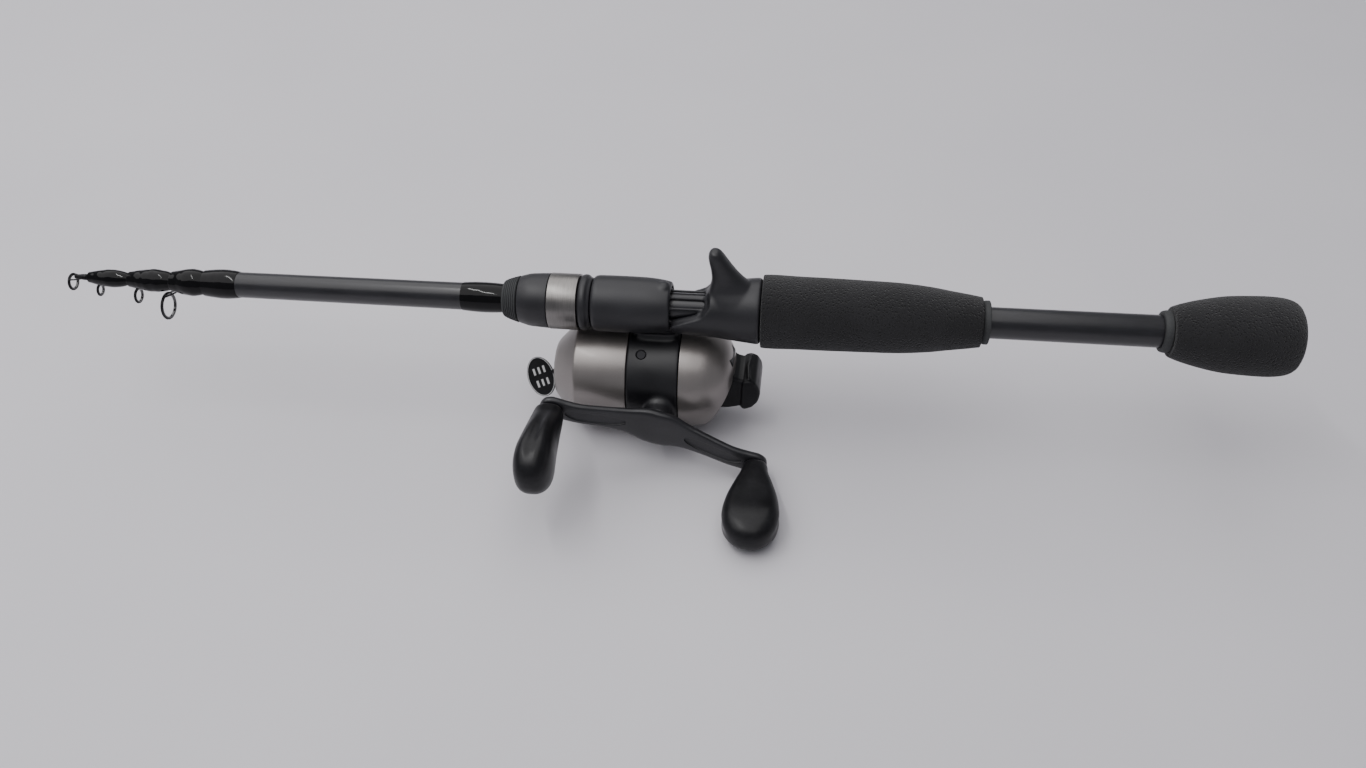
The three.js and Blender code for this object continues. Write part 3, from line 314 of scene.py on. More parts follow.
# Loops of oval section are extruded from one to the next. A station is its middle, its two half axes as
# vectors, and the power that squares it up.
def lofted(stations, sides=64, shape=None):
    bm = bmesh.new()
    loop = bmesh.ops.create_circle(bm, segments=sides, radius=1)["verts"]
    first = list(loop)
    for number, (middle, wide, high, power) in enumerate(stations):
        if number:
            edges = [bm.edges.get((loop[i], loop[(i + 1) % sides])) for i in range(sides)]
            made = bmesh.ops.extrude_edge_only(bm, edges=edges)["geom"]
            fresh = {v for v in made if isinstance(v, bmesh.types.BMVert)}
            loop = [next(e.other_vert(v) for e in v.link_edges if e.other_vert(v) in fresh) for v in loop]
        for i, v in enumerate(loop):
            angle = 2 * pi * i / sides
            across, along = cos(angle), sin(angle)
            across = abs(across) ** (2 / power) * (1 if across >= 0 else -1)
            along = abs(along) ** (2 / power) * (1 if along >= 0 else -1)
            pull = shape(number / (len(stations) - 1), angle) if shape else 1
            v.co = Vector(middle) + (Vector(wide) * across + Vector(high) * along) * pull
    bm.faces.new(first)
    bm.faces.new(loop)
    bmesh.ops.recalc_face_normals(bm, faces=bm.faces)
    return bm


# Puts eased stations between those given.
def finely(stations, count):
    made = []
    for i in range(len(stations) - 1):
        before, here = stations[max(i - 1, 0)], stations[i]
        there, after = stations[i + 1], stations[min(i + 2, len(stations) - 1)]
        for k in range(count):
            fours = zip(before[:3], here[:3], there[:3], after[:3])
            mixed = [between(*(Vector(value) for value in four), k / count) for four in fours]
            made.append((*mixed, here[3]))
    return made + [stations[-1]]


# A round bar along a line of points.
def bar(points, radius, sides=16):
    points = [Vector(p) for p in points]
    stations = []
    for i, p in enumerate(points):
        along = (points[min(i + 1, len(points) - 1)] - points[max(i - 1, 0)]).normalized()
        side = along.cross(Vector((0, 0.03, 1))).normalized()
        if side.length < 0.5:
            side = Vector((0, 1, 0))
        stations.append((p, side * radius, along.cross(side) * radius, 2))
    return lofted(stations, sides)


# A flat plate from an outline in X and Z, with its thickness along Y, and soft edges.
def plate(outline, width, soft=0.0, at=0.0):
    bm = bmesh.new()
    face = bm.faces.new([bm.verts.new((x, at - width / 2, z)) for x, z in outline])
    made = bmesh.ops.extrude_face_region(bm, geom=[face])["geom"]
    bmesh.ops.translate(bm, vec=(0, width, 0), verts=[v for v in made if isinstance(v, bmesh.types.BMVert)])
    bmesh.ops.recalc_face_normals(bm, faces=bm.faces)
    if soft:
        bmesh.ops.bevel(bm, geom=bm.edges[:], offset=soft, offset_type="OFFSET", affect="EDGES",
                        segments=4, profile=0.5, material=-1, clamp_overlap=True)
    return bm


def box(low, high, soft=0.0):
    outline = [(low[0], low[2]), (high[0], low[2]), (high[0], high[2]), (low[0], high[2])]
    return plate(outline, high[1] - low[1], soft, (low[1] + high[1]) / 2)


def moved(bm, vec=(0, 0, 0), turn=0, axis="Y"):
    bmesh.ops.rotate(bm, cent=(0, 0, 0), matrix=Matrix.Rotation(turn, 3, axis), verts=bm.verts)
    bmesh.ops.translate(bm, vec=vec, verts=bm.verts)
    return bm


def mirroredY(bm):
    bmesh.ops.scale(bm, vec=(1, -1, 1), verts=bm.verts)
    bmesh.ops.recalc_face_normals(bm, faces=bm.faces)
    return bm


# A turned shape laid along the crank's axis: its outline runs toward -Y.
def crosswise(outline, steps, at=(0, 0, 0)):
    return mirroredY(moved(turned(outline, steps), at, pi / 2, "Z"))


def joined(*parts):
    whole = bmesh.new()
    for part in parts:
        mesh = bpy.data.meshes.new("part")
        part.to_mesh(mesh)
        part.free()
        whole.from_mesh(mesh)
        bpy.data.meshes.remove(mesh)
    return whole


def objectOf(bm, name):
    mesh = bpy.data.meshes.new(name)
    bm.to_mesh(mesh)
    bm.free()
    made = bpy.data.objects.new(name, mesh)
    bpy.context.scene.collection.objects.link(made)
    return made


def evaluated(made):
    mesh = bpy.data.meshes.new_from_object(made.evaluated_get(bpy.context.evaluated_depsgraph_get()))
    bm = bmesh.new()
    bm.from_mesh(mesh)
    bpy.data.objects.remove(made)
    bpy.data.meshes.remove(mesh)
    return bm


# Takes the second shape away from the first.
def cutAway(bm, cutter):
    body, tool = objectOf(bm, "body"), objectOf(cutter, "tool")
    cut = body.modifiers.new("cut", "BOOLEAN")
    cut.operation, cut.solver, cut.object = "DIFFERENCE", "EXACT", tool
    bm = evaluated(body)
    bpy.data.objects.remove(tool)
    return bm


# Runs closed, overlapping parts into one moulding with soft inner corners.
def moulded(bm, voxel=0.5, smoothing=8):
    body = objectOf(bm, "body")
    melt = body.modifiers.new("melt", "REMESH")
    melt.mode, melt.voxel_size = "VOXEL", voxel
    bm = evaluated(body)
    for _ in range(smoothing):
        bmesh.ops.smooth_vert(bm, verts=bm.verts, factor=0.5,
                              use_axis_x=True, use_axis_y=True, use_axis_z=True)
    return bm


pieces = []


# Puts a shape in its place as a named piece that rides on a body and stands for CAD nodes.
def piece(name, bm, zero, material, body, nodes=(), sharp=38):
    bmesh.ops.transform(bm, matrix=Matrix.Scale(toMetres, 4) @ Matrix.Translation(zero), verts=bm.verts)
    for face in bm.faces:
        face.smooth = True
    for edge in bm.edges:
        if len(edge.link_faces) == 2 and edge.calc_face_angle() > radians(sharp):
            edge.smooth = False
    made = objectOf(bm, name)
    made.data.materials.append(material)
    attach(made, body)
    if nodes:
        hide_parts(*nodes)
    pieces.append(made)
    return made


# Blank and sliding sections
blank = {"frontRadius": 6.05, "rearRadius": 7.4, "wall": 0.8}
sections = [
    {"name": "section_2", "front": 4.7, "rear": 4.95, "wall": 0.75},
    {"name": "section_3", "front": 3.55, "rear": 3.8, "wall": 0.7},
    {"name": "section_4", "front": 2.4, "rear": 2.75, "wall": 0.6},
    {"name": "tip_section", "front": 1.0, "rear": 1.65, "wall": 0},
]


def tubeFrom(node, front, rear, wall, edge=0.15):
    low, high = nodeBox(node)
    x0, x1 = low.x - rodZero.x, high.x - rodZero.x
    if not wall:
        return turned([(x0, 0), (x0, front, edge), (x1, rear, edge), (x1, 0)], 48)
    outline = [(x0, front - wall), (x0, front, edge), (x1, rear, edge), (x1, rear - wall)]
    return turned(outline, 96, closed=True)


piece("blank_butt", tubeFrom("butt_section", blank["frontRadius"], blank["rearRadius"], blank["wall"]),
      rodZero, graphite, "rod", ["butt_section"])
sectionBodies = ["section_2_body", "section_3_body", "section_4_body", "tip_body"]
for part, body in zip(sections, sectionBodies):
    piece("blank_" + part["name"], tubeFrom(part["name"], part["front"], part["rear"], part["wall"]),
          rodZero, graphite, body, [part["name"]])


# Thread windings: an uneven swell of epoxy, thick at its rear and drawn down to its front.
windings = {
    "winding_butt": {"body": "rod", "swell": 0.8, "lean": 1.2, "front": 6.1, "rear": 6.1, "lump": 0.07},
    "winding_front": {"body": "rod", "swell": 0.5, "lean": 1.0, "front": 6.45, "rear": 6.5, "lump": 0.05},
    "winding_2": {
        "body": "section_2_body", "swell": 1.65, "lean": 1.4, "front": 4.75, "rear": 4.75, "lump": 0.16,
    },
    "winding_3": {
        "body": "section_3_body", "swell": 1.75, "lean": 1.3, "front": 3.6, "rear": 3.6, "lump": 0.16,
    },
    "winding_4": {
        "body": "section_4_body", "swell": 1.75, "lean": 1.3, "front": 2.45, "rear": 2.45, "lump": 0.14,
    },
}


def makeWinding(name, values):
    low, high = nodeBox(name)
    x0, x1 = low.x - rodZero.x, high.x - rodZero.x
    count = ceil((x1 - x0) / 0.45)
    outer = []
    for k in range(count + 1):
        share = k / count
        rise = sin(pi * share ** values["lean"]) ** 0.8 if 0 < share < 1 else 0
        base = values["front"] + (values["rear"] - values["front"]) * share
        outer.append((x0 + (x1 - x0) * share, base + 0.15 + values["swell"] * rise))
    inner = [(x1, values["rear"] + 0.02), (x0, values["front"] + 0.02)]
    bm = turned(outer + inner, 72, closed=True)
    for v in bm.verts:
        out = Vector((0, v.co.y, v.co.z))
        reach = out.length - values["front"]
        if reach > 0.2:
            wave = noise.noise(Vector((v.co.x * 0.35, v.co.y * 0.22, v.co.z * 0.22)))
            v.co += out.normalized() * wave * values["lump"] * min(1, reach)
    piece("epoxy_" + name, bm, rodZero, threadEpoxy, values["body"], [name])


for name, values in windings.items():
    makeWinding(name, values)
print("blank and windings made")


# Line guides: a wear ring pressed in a wire ring, which hangs from two legs that meet on a foot.
guides = {
    "guide_large": {
        "body": "section_2_body", "radius": 6.9, "wire": 0.42, "ring": 0.6, "foot": 4.95, "legs": 0.28,
    },
    "guide_middle": {
        "body": "section_3_body", "radius": 4.0, "wire": 0.36, "ring": 0.5, "foot": 3.8, "legs": 0.34,
    },
    "guide_small": {
        "body": "section_4_body", "radius": 3.2, "wire": 0.34, "ring": 0.45, "foot": 2.65, "legs": 0.36,
    },
    "tip_top": {"body": "tip_body", "radius": 4.3, "wire": 0.38, "ring": 0.5, "foot": 1.3, "legs": 0.7},
}
legSteps = (0, 0.15, 0.3, 0.45, 0.6, 0.75, 0.9, 1)


def ringOf(radius, thick, long):
    half = long / 2
    corner = min(thick, long) * 0.45
    return turned([(-half, radius - thick, corner), (half, radius - thick, corner), (half, radius, corner),
                   (-half, radius, corner)], 72, closed=True)


def makeGuide(name, values):
    ring = middleOf(name + "_ring") - rodZero
    radius, wireSize = values["radius"], values["wire"]
    parts = [moved(ringOf(radius, 2 * wireSize, 2.1 * wireSize), ring)]
    footX = nodeBox(name)[1].x - rodZero.x
    if name == "tip_top":
        nose = ring.x + 2.2
        tube = [
            (nose, 0), (nose, 1.0, 0.4), (footX - 1.5, 1.5), (footX, 1.5, 0.15), (footX, 1.25),
            (footX - 3.4, 1.1), (footX - 3.4, 0),
        ]
        parts.append(turned(tube, 48))
        start, meet = footX - 3.2, -0.5
    else:
        start, meet = footX - 7.5, -values["foot"]
        line = [(start - 0.3, 0, meet + 0.1), (start + 2, 0, meet + 0.15), (footX - 0.4, 0, meet + 0.5)]
        parts.append(bar(line, wireSize * 1.5))
    for side in (-1, 1):
        angle, reach = values["legs"], radius - wireSize
        hold = Vector((ring.x, side * reach * sin(angle), ring.z + reach * cos(angle)))
        root = Vector((start, side * wireSize * (1.1 if name != "tip_top" else 2.6), meet))
        bend = root.lerp(hold, 0.45) + Vector((0, side * radius * 0.08, -radius * 0.06))
        line = [root.lerp(bend, t).lerp(bend.lerp(hold, t), t) for t in legSteps]
        parts.append(bar(line, wireSize))
    piece("wire_" + name, joined(*parts), rodZero, oxideWire, values["body"], [name])
    inner = radius - 2 * wireSize + 0.02
    wear = moved(ringOf(inner, values["ring"] + 0.1, 1.3), ring)
    piece("wear_ring_" + name, wear, rodZero, ceramic, values["body"], [name + "_ring"])


for name, values in guides.items():
    makeGuide(name, values)
print("guides made")


# Foam grip and butt knob, turned from block foam, with their rubber rings.
gripLine = [
    (46, 16.7), (52, 16.85), (62, 16.6), (75, 16.5), (90, 16.25), (107, 15.85), (120, 14.8), (130, 13.35),
    (138, 12.2), (143.6, 11.3),
]
knobLine = [
    (225, 11.1), (230, 12.9), (238, 15.0), (248, 16.8), (260, 17.5), (268, 17.45), (273.5, 16.6),
    (276.6, 14.9), (278, 12.3),
]
foam = {"edge": 0.7, "gripBore": 7.3, "knobBore": 7.6, "knobFloor": 258.3}


def makeFoam(name, line, rest, node):
    outer = eased(line, 1.2)
    outer[0] = (*line[0], foam["edge"])
    made = piece(name, turned(outer + rest, 128, closed=True), rodZero, evaFoam, "rod", [node])


makeFoam("foam_rear_grip", gripLine, [
    (gripLine[-1][0], foam["gripBore"]), (gripLine[0][0], foam["gripBore"]),
], "rear_grip")
makeFoam("foam_butt_knob", knobLine, [
    (knobLine[-1][0], 0), (foam["knobFloor"], 0), (foam["knobFloor"], foam["knobBore"]),
    (knobLine[0][0], foam["knobBore"]),
], "butt_knob")


# A rubber ring with its crown a little before the middle.
def makeCheck(name, node, radius, bore):
    low, high = nodeBox(node)
    x0, x1 = low.x - rodZero.x, high.x - rodZero.x
    crown = x0 + (x1 - x0) * 0.45
    outline = [(x0, bore), (x0, radius - 0.5, 0.5), (crown, radius, 0.3), (x1, radius, 0.5), (x1, bore)]
    piece(name, turned(outline, 96, closed=True), rodZero, ringRubber, "rod", [node])


makeCheck("rubber_grip_check", "grip_check", 9.9, 7.15)
makeCheck("rubber_butt_check", "butt_check", 9.4, 7.4)
print("foam and rings made")


# Reel seat: a threaded barrel, a window over the blank, and a trigger that grows out of the rear body.
seat = {"front": -65.5, "rear": 45.7, "barrel": 9.2, "bore": 7.05, "windowTo": 22}
ribs = {"angles": (-58, -20, 20, 58), "at": 7.6, "radius": 0.85}
trigger = [  # height, middle along X, half length, half width
    (7, 34, 13.5, 12.5), (11, 33, 11.5, 9.6), (14, 31.8, 9.4, 7.0), (17, 30.7, 7.6, 5.6),
    (20, 29.4, 6.3, 4.9), (23.5, 27.9, 5.2, 4.6), (27, 26.4, 4.4, 4.4), (30, 25.3, 3.6, 4.1),
    (32, 24.8, 2.5, 3.3), (32.9, 24.6, 1.2, 1.8),
]


def makeSeat():
    front, rear, bore, windowTo = seat["front"], seat["rear"], seat["bore"], seat["windowTo"]
    barrelTo = windowTo + 3
    tube = turned([
        (front, bore), (front, seat["barrel"], 0.5), (barrelTo, seat["barrel"]), (barrelTo, bore),
    ], 96, closed=True)
    saddle = turned([(5.2, bore), (5.2, 12.2, 0.6), (16, 12.6), (26, 13.2), (26, bore)], 96, closed=True)
    body = turned([
        (21.5, bore), (21.5, 12.4, 1.2), (30, 13.8), (38, 14.6), (44.6, 15.3, 0.5), (rear, 15.2, 0.3),
        (rear, bore),
    ], 96, closed=True)
    blade = lofted([((x, 0, z), (long, 0, 0), (0, wide, 0), 2.3) for z, x, long, wide in trigger], 64)
    window = [(4, -3.2), (windowTo - 3, 3.2), (windowTo + 0.5, 8), (windowTo + 0.5, 22), (4, 22)]
    shell = cutAway(moulded(joined(saddle, body), 0.6, 2), plate(window, 40))
    opening = [(4, -2), (windowTo - 2, 3.6), (windowTo - 2, 12), (4, 12)]
    tube = cutAway(tube, plate(opening, 40))
    rods = []
    for angle in ribs["angles"]:
        y, z = ribs["at"] * sin(radians(angle)), ribs["at"] * cos(radians(angle))
        rods.append(bar([(3, y, z), (9, y, z), (16, y, z), (24, y, z)], ribs["radius"]))
    whole = moulded(joined(tube, shell, blade, *rods), 0.55, 10)
    through = turned([(front - 1, 0), (front - 1, bore), (rear + 1, bore), (rear + 1, 0)], 64)
    slot = box((4, -8.6, -20), (windowTo - 5, 8.6, -4))
    whole = cutAway(cutAway(cutAway(whole, through), footRoom(4.4, 28.6)), slot)
    piece("moulded_reel_seat", whole, rodZero, satinNylon, "rod", ["reel_seat"])


# The curved slot that an end of the reel's foot slides into.
footSlot = {"inner": 9.15, "outer": 11.95, "halfWidth": 8.5, "top": -2.8}


def footRoom(x0, x1):
    inner, outer, half = footSlot["inner"], footSlot["outer"], footSlot["halfWidth"]
    ring = turned([(x0, inner), (x0, outer), (x1, outer), (x1, inner)], 64, closed=True)
    left = box((x0 - 1, half, -20), (x1 + 1, 20, 20))
    right = box((x0 - 1, -20, -20), (x1 + 1, -half, 20))
    top = box((x0 - 1, -20, footSlot["top"]), (x1 + 1, 20, 20))
    return cutAway(cutAway(cutAway(ring, left), right), top)


makeSeat()

# Sliding hood: a smooth barrel with round ends, a small lip on top at its rear, open below for the foot.
hood = {"from": -31.9, "to": 4.5, "bore": 9.4}
hoodLine = [(-27, 13.05), (-15, 13.1), (-6, 12.9), (0, 12.3), (4, 11.5)]
hoodLip = [  # along X, half width, half height
    (-2.6, 0.6, 0.4), (-1.6, 2.6, 1.4), (0.2, 3.4, 2.0), (2.0, 3.4, 1.9), (3.4, 2.4, 1.2), (4.0, 1.0, 0.5),
]


def makeHood():
    front, rear, bore = hood["from"], hood["to"], hood["bore"]
    outer = eased([(front + 0.3, 12.1), (front + 1.6, 12.85), *hoodLine], 1.0)
    ends = [(rear, 10.9, 0.4), (rear, bore)]
    barrel = turned([(front, bore), (front, 11.4, 0.6)] + outer + ends, 128, closed=True)
    lip = lofted([((x, 0, 11.2), (0, half, 0), (0, 0, rise), 2.2) for x, half, rise in hoodLip], 32)
    whole = moulded(joined(barrel, lip), 0.45, 6)
    through = turned([(front - 1, 0), (front - 1, bore), (rear + 1, bore), (rear + 1, 0)], 96)
    notch = box((-14.6, -12, -20), (6, 12, -8.2))
    whole = cutAway(cutAway(cutAway(whole, through), notch), footRoom(-24.6, 6))
    piece("moulded_sliding_hood", whole, rodZero, satinNylon, "hood", ["sliding_hood"])


makeHood()

# Lock nut and what turns with it
nutParts = [
    ("moulded_lock_nut", "lock_nut", satinNylon, "seat_plastic", [
        (-66.3, 9.4), (-66.3, 10.9, 0.5), (-61.5, 12.25, 1.2), (-52.1, 12.8, 0.35), (-52.1, 11.3),
        (-38.1, 11.3, 0.2), (-38.1, 9.4),
    ]),
    ("brushed_trim_ring", "trim_ring", brushedAluminium, "trim", [
        (-51.8, 11.65), (-51.8, 13.05, 0.35), (-38.1, 13.05, 0.35), (-38.1, 11.65),
    ]),
    ("moulded_nut_flange", "nut_flange", satinNylon, "seat_plastic", [
        (-37.8, 9.4), (-37.8, 12.2, 0.5), (-36.4, 13.0, 0.6), (-34.6, 13.05, 0.7), (-33.6, 12.0, 0.5),
        (-32.2, 11.4, 0.4), (-32.2, 9.4),
    ]),
]
for name, node, material, slot, outline in nutParts:
    piece(name, turned(outline, 128, closed=True), rodZero, material, "nut", [node])

# The collar's rubber is moulded in fine rings.
collarOutline = [(-66.6, 8.6), (-73.9, 7.3), (-73.9, 8.1, 0.3)]
collarRings = 7
for k in range(collarRings):
    x, radius = -73.2 + k * 0.95, 8.45 + 2.3 * (k / collarRings) ** 0.8
    collarOutline += [(x, radius + 0.22, 0.15), (x + 0.5, radius + 0.4, 0.15), (x + 0.6, radius, 0.08)]
collarOutline.append((-66.6, 10.85, 0.2))
piece("rubber_nut_collar", turned(collarOutline, 96, closed=True), rodZero, ringRubber, "nut",
      ["nut_collar"])
print("seat, hood and nut made")


# Reel body: the black band with its deck inside, the crank's boss, and the stem and foot under the seat.
reel = {
    "radius": 25.5, "wall": 1.3, "bandFrom": -15.6, "bandTo": 8.7, "deck": -18, "footFrom": -24, "footTo": 28,
    "shaftBore": 4.3, "screwX": -9, "screwTilt": radians(59),
}
bossOutline = [
    (-32.4, 0), (-32.4, 6.8, 0.5), (-27.5, 6.9), (-25.5, 7.8), (-24, 9.6), (-20, 9.8), (-20, 0),
]
stemLine = [  # height, half length, half width
    (22, 12.5, 9), (25.2, 10.2, 6), (27, 9.3, 4.8), (28.2, 9.4, 5), (29.6, 11, 6.4), (31, 13, 7.6),
]
footCuts = [((-40, 8, -20), (40, 20, 20)), ((-40, -20, -20), (40, -8, 20)), ((-40, -20, -4.8), (40, 20, 20))]
dimpleOutline = [(23.6, 0), (23.6, 2.15), (25.1, 2.2), (25.7, 2.9), (27, 2.9), (27, 0)]


def makeReelBody():
    inner = reel["radius"] - reel["wall"]
    footFrom, footTo, bore = reel["footFrom"], reel["footTo"], reel["shaftBore"]
    drum = turned([
        (reel["bandTo"], reel["radius"], 0.5), (reel["bandFrom"], reel["radius"], 0.5),
        (reel["bandFrom"], inner - 0.3), (reel["deck"], inner - 0.3, 0.3), (reel["deck"], 5.5),
        (-28, 5.5, 0.4), (-28, 2.8), (-16, 2.8), (-16, inner - 0.6), (reel["bandTo"], inner - 0.6),
    ], 160, closed=True)
    drop = crankZero.z - reelZero.z
    boss = mirroredY(moved(turned(bossOutline, 64), (0, 0, drop), -pi / 2, "Z"))
    stem = lofted([((-3, 0, z), (long, 0, 0), (0, wide, 0), 4.5) for z, long, wide in stemLine], 64)
    foot = turned([
        (footFrom, 9.5), (footFrom, 11.5, 0.5), (footTo, 11.5, 0.5), (footTo, 9.5),
    ], 96, closed=True)
    for low, high in footCuts:
        foot = cutAway(foot, box(low, high))
    whole = moulded(joined(drum, boss, stem, moved(foot, (0, 0, reelDrop))), 0.5, 5)
    through = moved(turned([(-40, 0), (-40, bore), (-5, bore), (-5, 0)], 48), (0, 0, drop), pi / 2, "Z")
    dialSlot = box((-4.3, 19.6, -7.3), (1.9, 27, 7.3))
    whole = cutAway(cutAway(whole, through), dialSlot)
    dimple = moved(turned(dimpleOutline, 48), turn=-pi / 2, axis="Z")
    whole = cutAway(whole, moved(dimple, (reel["screwX"], 0, 0), -reel["screwTilt"], "X"))
    piece("moulded_reel_body", whole, reelZero, bodyAbs, "rod", ["reel_body"])


makeReelBody()

# Front cover: a straight drum, a crisp shoulder, and a bevelled nose round the line's hole.
cover = {"from": -15.9, "shoulder": -40.4, "front": -52.3, "nose": 12.6, "hole": 5.2}
shellOuter, shellInner = reel["radius"], reel["radius"] - reel["wall"]
noseInside = cover["front"] + reel["wall"]
frontOutline = [
    (cover["from"], shellInner), (cover["from"], shellOuter, 0.35), (cover["shoulder"], shellOuter, 0.7),
    (cover["front"] + 1.4, cover["nose"] + 2.1, 0.8), (cover["front"], cover["nose"], 0.6),
    (cover["front"], cover["hole"]), (noseInside, cover["hole"]), (noseInside + 0.2, cover["nose"]),
    (cover["shoulder"] + 0.6, shellInner, 0.5),
]
piece("lacquered_front_cover", turned(frontOutline, 192, closed=True), reelZero, champagneLacquer, "rod",
      ["front_cover"], sharp=50)
eyeletOutline = [
    (-50.5, 3.6, 0.3), (-52.6, 3.25, 0.5), (-53.7, 3.7, 0.35), (-53.7, 5.6, 0.35), (-52.6, 6.6, 0.3),
    (-52.6, 5.1), (-50.5, 5.1, 0.2),
]
piece("polished_line_eyelet", turned(eyeletOutline, 96, closed=True), reelZero, bareSteel, "rod",
      ["line_eyelet"])

# Rear cover: a dome cut by a slanted face, with a window that the button works in.
slope = {"x": 30.1, "lean": 0.554}
domeLine = [(9.0, 25.5), (15.1, 25.2), (22, 23.6), (28, 20.0), (31.9, 15.5), (33.9, 9.9), (34.4, 4)]
windowEdges = [((0, -1, 0), 10.5), ((0, 1, 0), 10.5), ((0, 0, -1), 14.4), ((0, 0, 1), 16.2)]


def makeRearCover():
    bm = turned([domeLine[0]] + eased(domeLine, 1.0)[1:] + [(34.4, 0)], 160)
    steep = Vector((1, 0, -slope["lean"])).normalized()
    onSlope = Vector((slope["x"], 0, 0))
    bmesh.ops.bisect_plane(bm, geom=bm.verts[:] + bm.edges[:] + bm.faces[:], plane_co=onSlope,
                           plane_no=steep, clear_outer=True)
    rim = [e for e in bm.edges if e.is_boundary and
           all(abs((v.co - onSlope).dot(steep)) < 0.01 for v in e.verts)]
    flat = bmesh.ops.contextual_create(bm, geom=rim)["faces"]
    for normal, reach in windowEdges:
        around = list(dict.fromkeys(e for f in flat for e in f.edges))
        around += list(dict.fromkeys(v for f in flat for v in f.verts))
        bmesh.ops.bisect_plane(bm, geom=flat + around, plane_co=Vector(normal) * reach, plane_no=normal)
        flat = [f for f in bm.faces if abs(f.normal.dot(steep)) > 0.9999 and
                abs((f.calc_center_median() - onSlope).dot(steep)) < 0.01]
    opening = [f for f in flat if all(
        v.co.dot(Vector(normal)) < reach + 0.01 for v in f.verts for normal, reach in windowEdges)]
    bmesh.ops.delete(bm, geom=opening, context="FACES")
    bmesh.ops.recalc_face_normals(bm, faces=bm.faces)
    shell = objectOf(bm, "shell")
    wall = shell.modifiers.new("wall", "SOLIDIFY")
    wall.thickness, wall.offset = reel["wall"], -1
    soft = shell.modifiers.new("soft", "BEVEL")
    soft.width, soft.segments, soft.limit_method, soft.angle_limit = 0.45, 3, "ANGLE", radians(32)
    piece("lacquered_rear_cover", evaluated(shell), reelZero, champagneLacquer, "rod",
          ["rear_cover"], sharp=50)


makeRearCover()

# Thumb button: a skirt inside the cover and a broad pad with a ridge across its top.
buttonAt = {"pivotX": 28, "pivotZ": 13.5, "reach": 46.5, "pinBore": 1.25, "pushFace": 24.75}


def makeButton():
    x, z, reach, pin = buttonAt["pivotX"], buttonAt["pivotZ"], buttonAt["reach"], buttonAt["pinBore"]
    lug = plate([
        (x - 2.4, z - 5.5), (x - 2.4, z + 1.6), (x - 1, z + 2.2), (x + 3.5, z + 1.7), (x + 5.5, z - 1),
        (x + 5, z - 5.5),
    ], 12.8, 0.5)
    skirt = plate([
        (buttonAt["pushFace"], -3), (buttonAt["pushFace"], 2), (x - 2, z - 4.5), (x + 4, z - 4.5),
        (x + 7, z - 7.2), (x + 12, z - 8.3), (x + 11, -10), (x + 4, -12), (19.5, -13.5),
    ], 19.6, 1.2)
    pad = plate([
        (reach - 8.6, 5.8), (reach - 5.6, 6.7), (reach - 2.4, 5.4), (reach - 0.5, 1.8), (reach, -2),
        (reach - 1.1, -6.5), (reach - 3.8, -10), (reach - 7.4, -11.8), (reach - 9.4, -10.8), (reach - 8.9, 0),
    ], 22, 1.5)
    ridgeLine = [(reach - 6.4 + 0.1 * abs(y), y, 6.4) for y in (-9, -8, -4, 0, 4, 8, 9)]
    ridge = lofted([(at, (0.8, 0, 0), (0, 0, 0.8), 2) for at in ridgeLine], 24)
    whole = moulded(joined(lug, skirt, pad, ridge), 0.36, 4)
    bore = crosswise([(-20, 0), (-20, pin), (20, pin), (20, 0)], 32, (x, 0, z))
    piece("polished_thumb_button", cutAway(whole, bore), reelZero, glossAbs, "button",
          ["thumb_button"])


makeButton()
print("reel made")


# Crank: two bowed arms from a lens-like hub, with a channel in the outer face of each arm.
crank = {"half": 48.8, "angle": 0.2925, "hubY": -37.5, "endY": -43.8, "thick": 4.4, "rivetBore": 1.8,
         "shaftBore": 2.7}
armHeights = [
    (0, 9.8), (5, 9.6), (9, 8.6), (13, 7.4), (18, 6.6), (26, 5.9), (36, 5.4), (43, 5.4), (47, 5.7),
    (50, 5.5), (52.4, 4.2), (53.6, 2.3), (54, 0.6),
]
groove = [  # along X, half height
    (14, 0.8), (16, 2.0), (20, 2.9), (26, 3.1), (31, 3.0), (36, 2.8), (39.5, 2.1), (42, 0.8),
]


def armFace(x):
    reach = abs(x)
    bow = crank["hubY"] + (crank["endY"] + 0.8 - crank["hubY"]) * min(1, max(0, (reach - 7) / 28)) ** 1.15
    return bow - 0.8 * max(0, (reach - 35) / 19) - 1.6 * exp(-(reach / 11) ** 2)


def makeCrank():
    stations = []
    for x, high in [(-x, high) for x, high in reversed(armHeights)] + armHeights[1:]:
        thick = crank["thick"] + 1.6 * exp(-(x / 11) ** 2)
        taper = min(1, (54.6 - abs(x)) / 2.2)
        stations.append(((x, armFace(x) + thick / 2, 0), (0, thick / 2 * taper ** 0.5, 0), (0, 0, high), 3.2))
    arm = lofted(finely(stations, 3), 64)
    hub = crosswise([(32.8, 0), (32.8, 4.9, 0.5), (38, 5.4), (38, 0)], 64)
    whole = moulded(joined(arm, hub), 0.45, 5)
    rivet, shaft = crank["rivetBore"], crank["shaftBore"]
    for side in (-1, 1):
        whole = cutAway(whole, lofted([
            ((side * x, armFace(side * x) - 0.1, 0), (0, 1.2, 0), (0, 0, wide), 3) for x, wide in groove
        ], 32))
        hole = crosswise([(0, 0), (0, rivet), (70, rivet), (70, 0)], 32, (side * crank["half"], 0, 0))
        whole = cutAway(whole, hole)
    socket = crosswise([(0, 0), (0, shaft), (36.4, shaft), (36.4, 0)], 32)
    whole = moved(cutAway(whole, socket), turn=crank["angle"])
    piece("cast_crank_arm", whole, crankZero, blackCast, "crank", ["crank_arm"])


makeCrank()

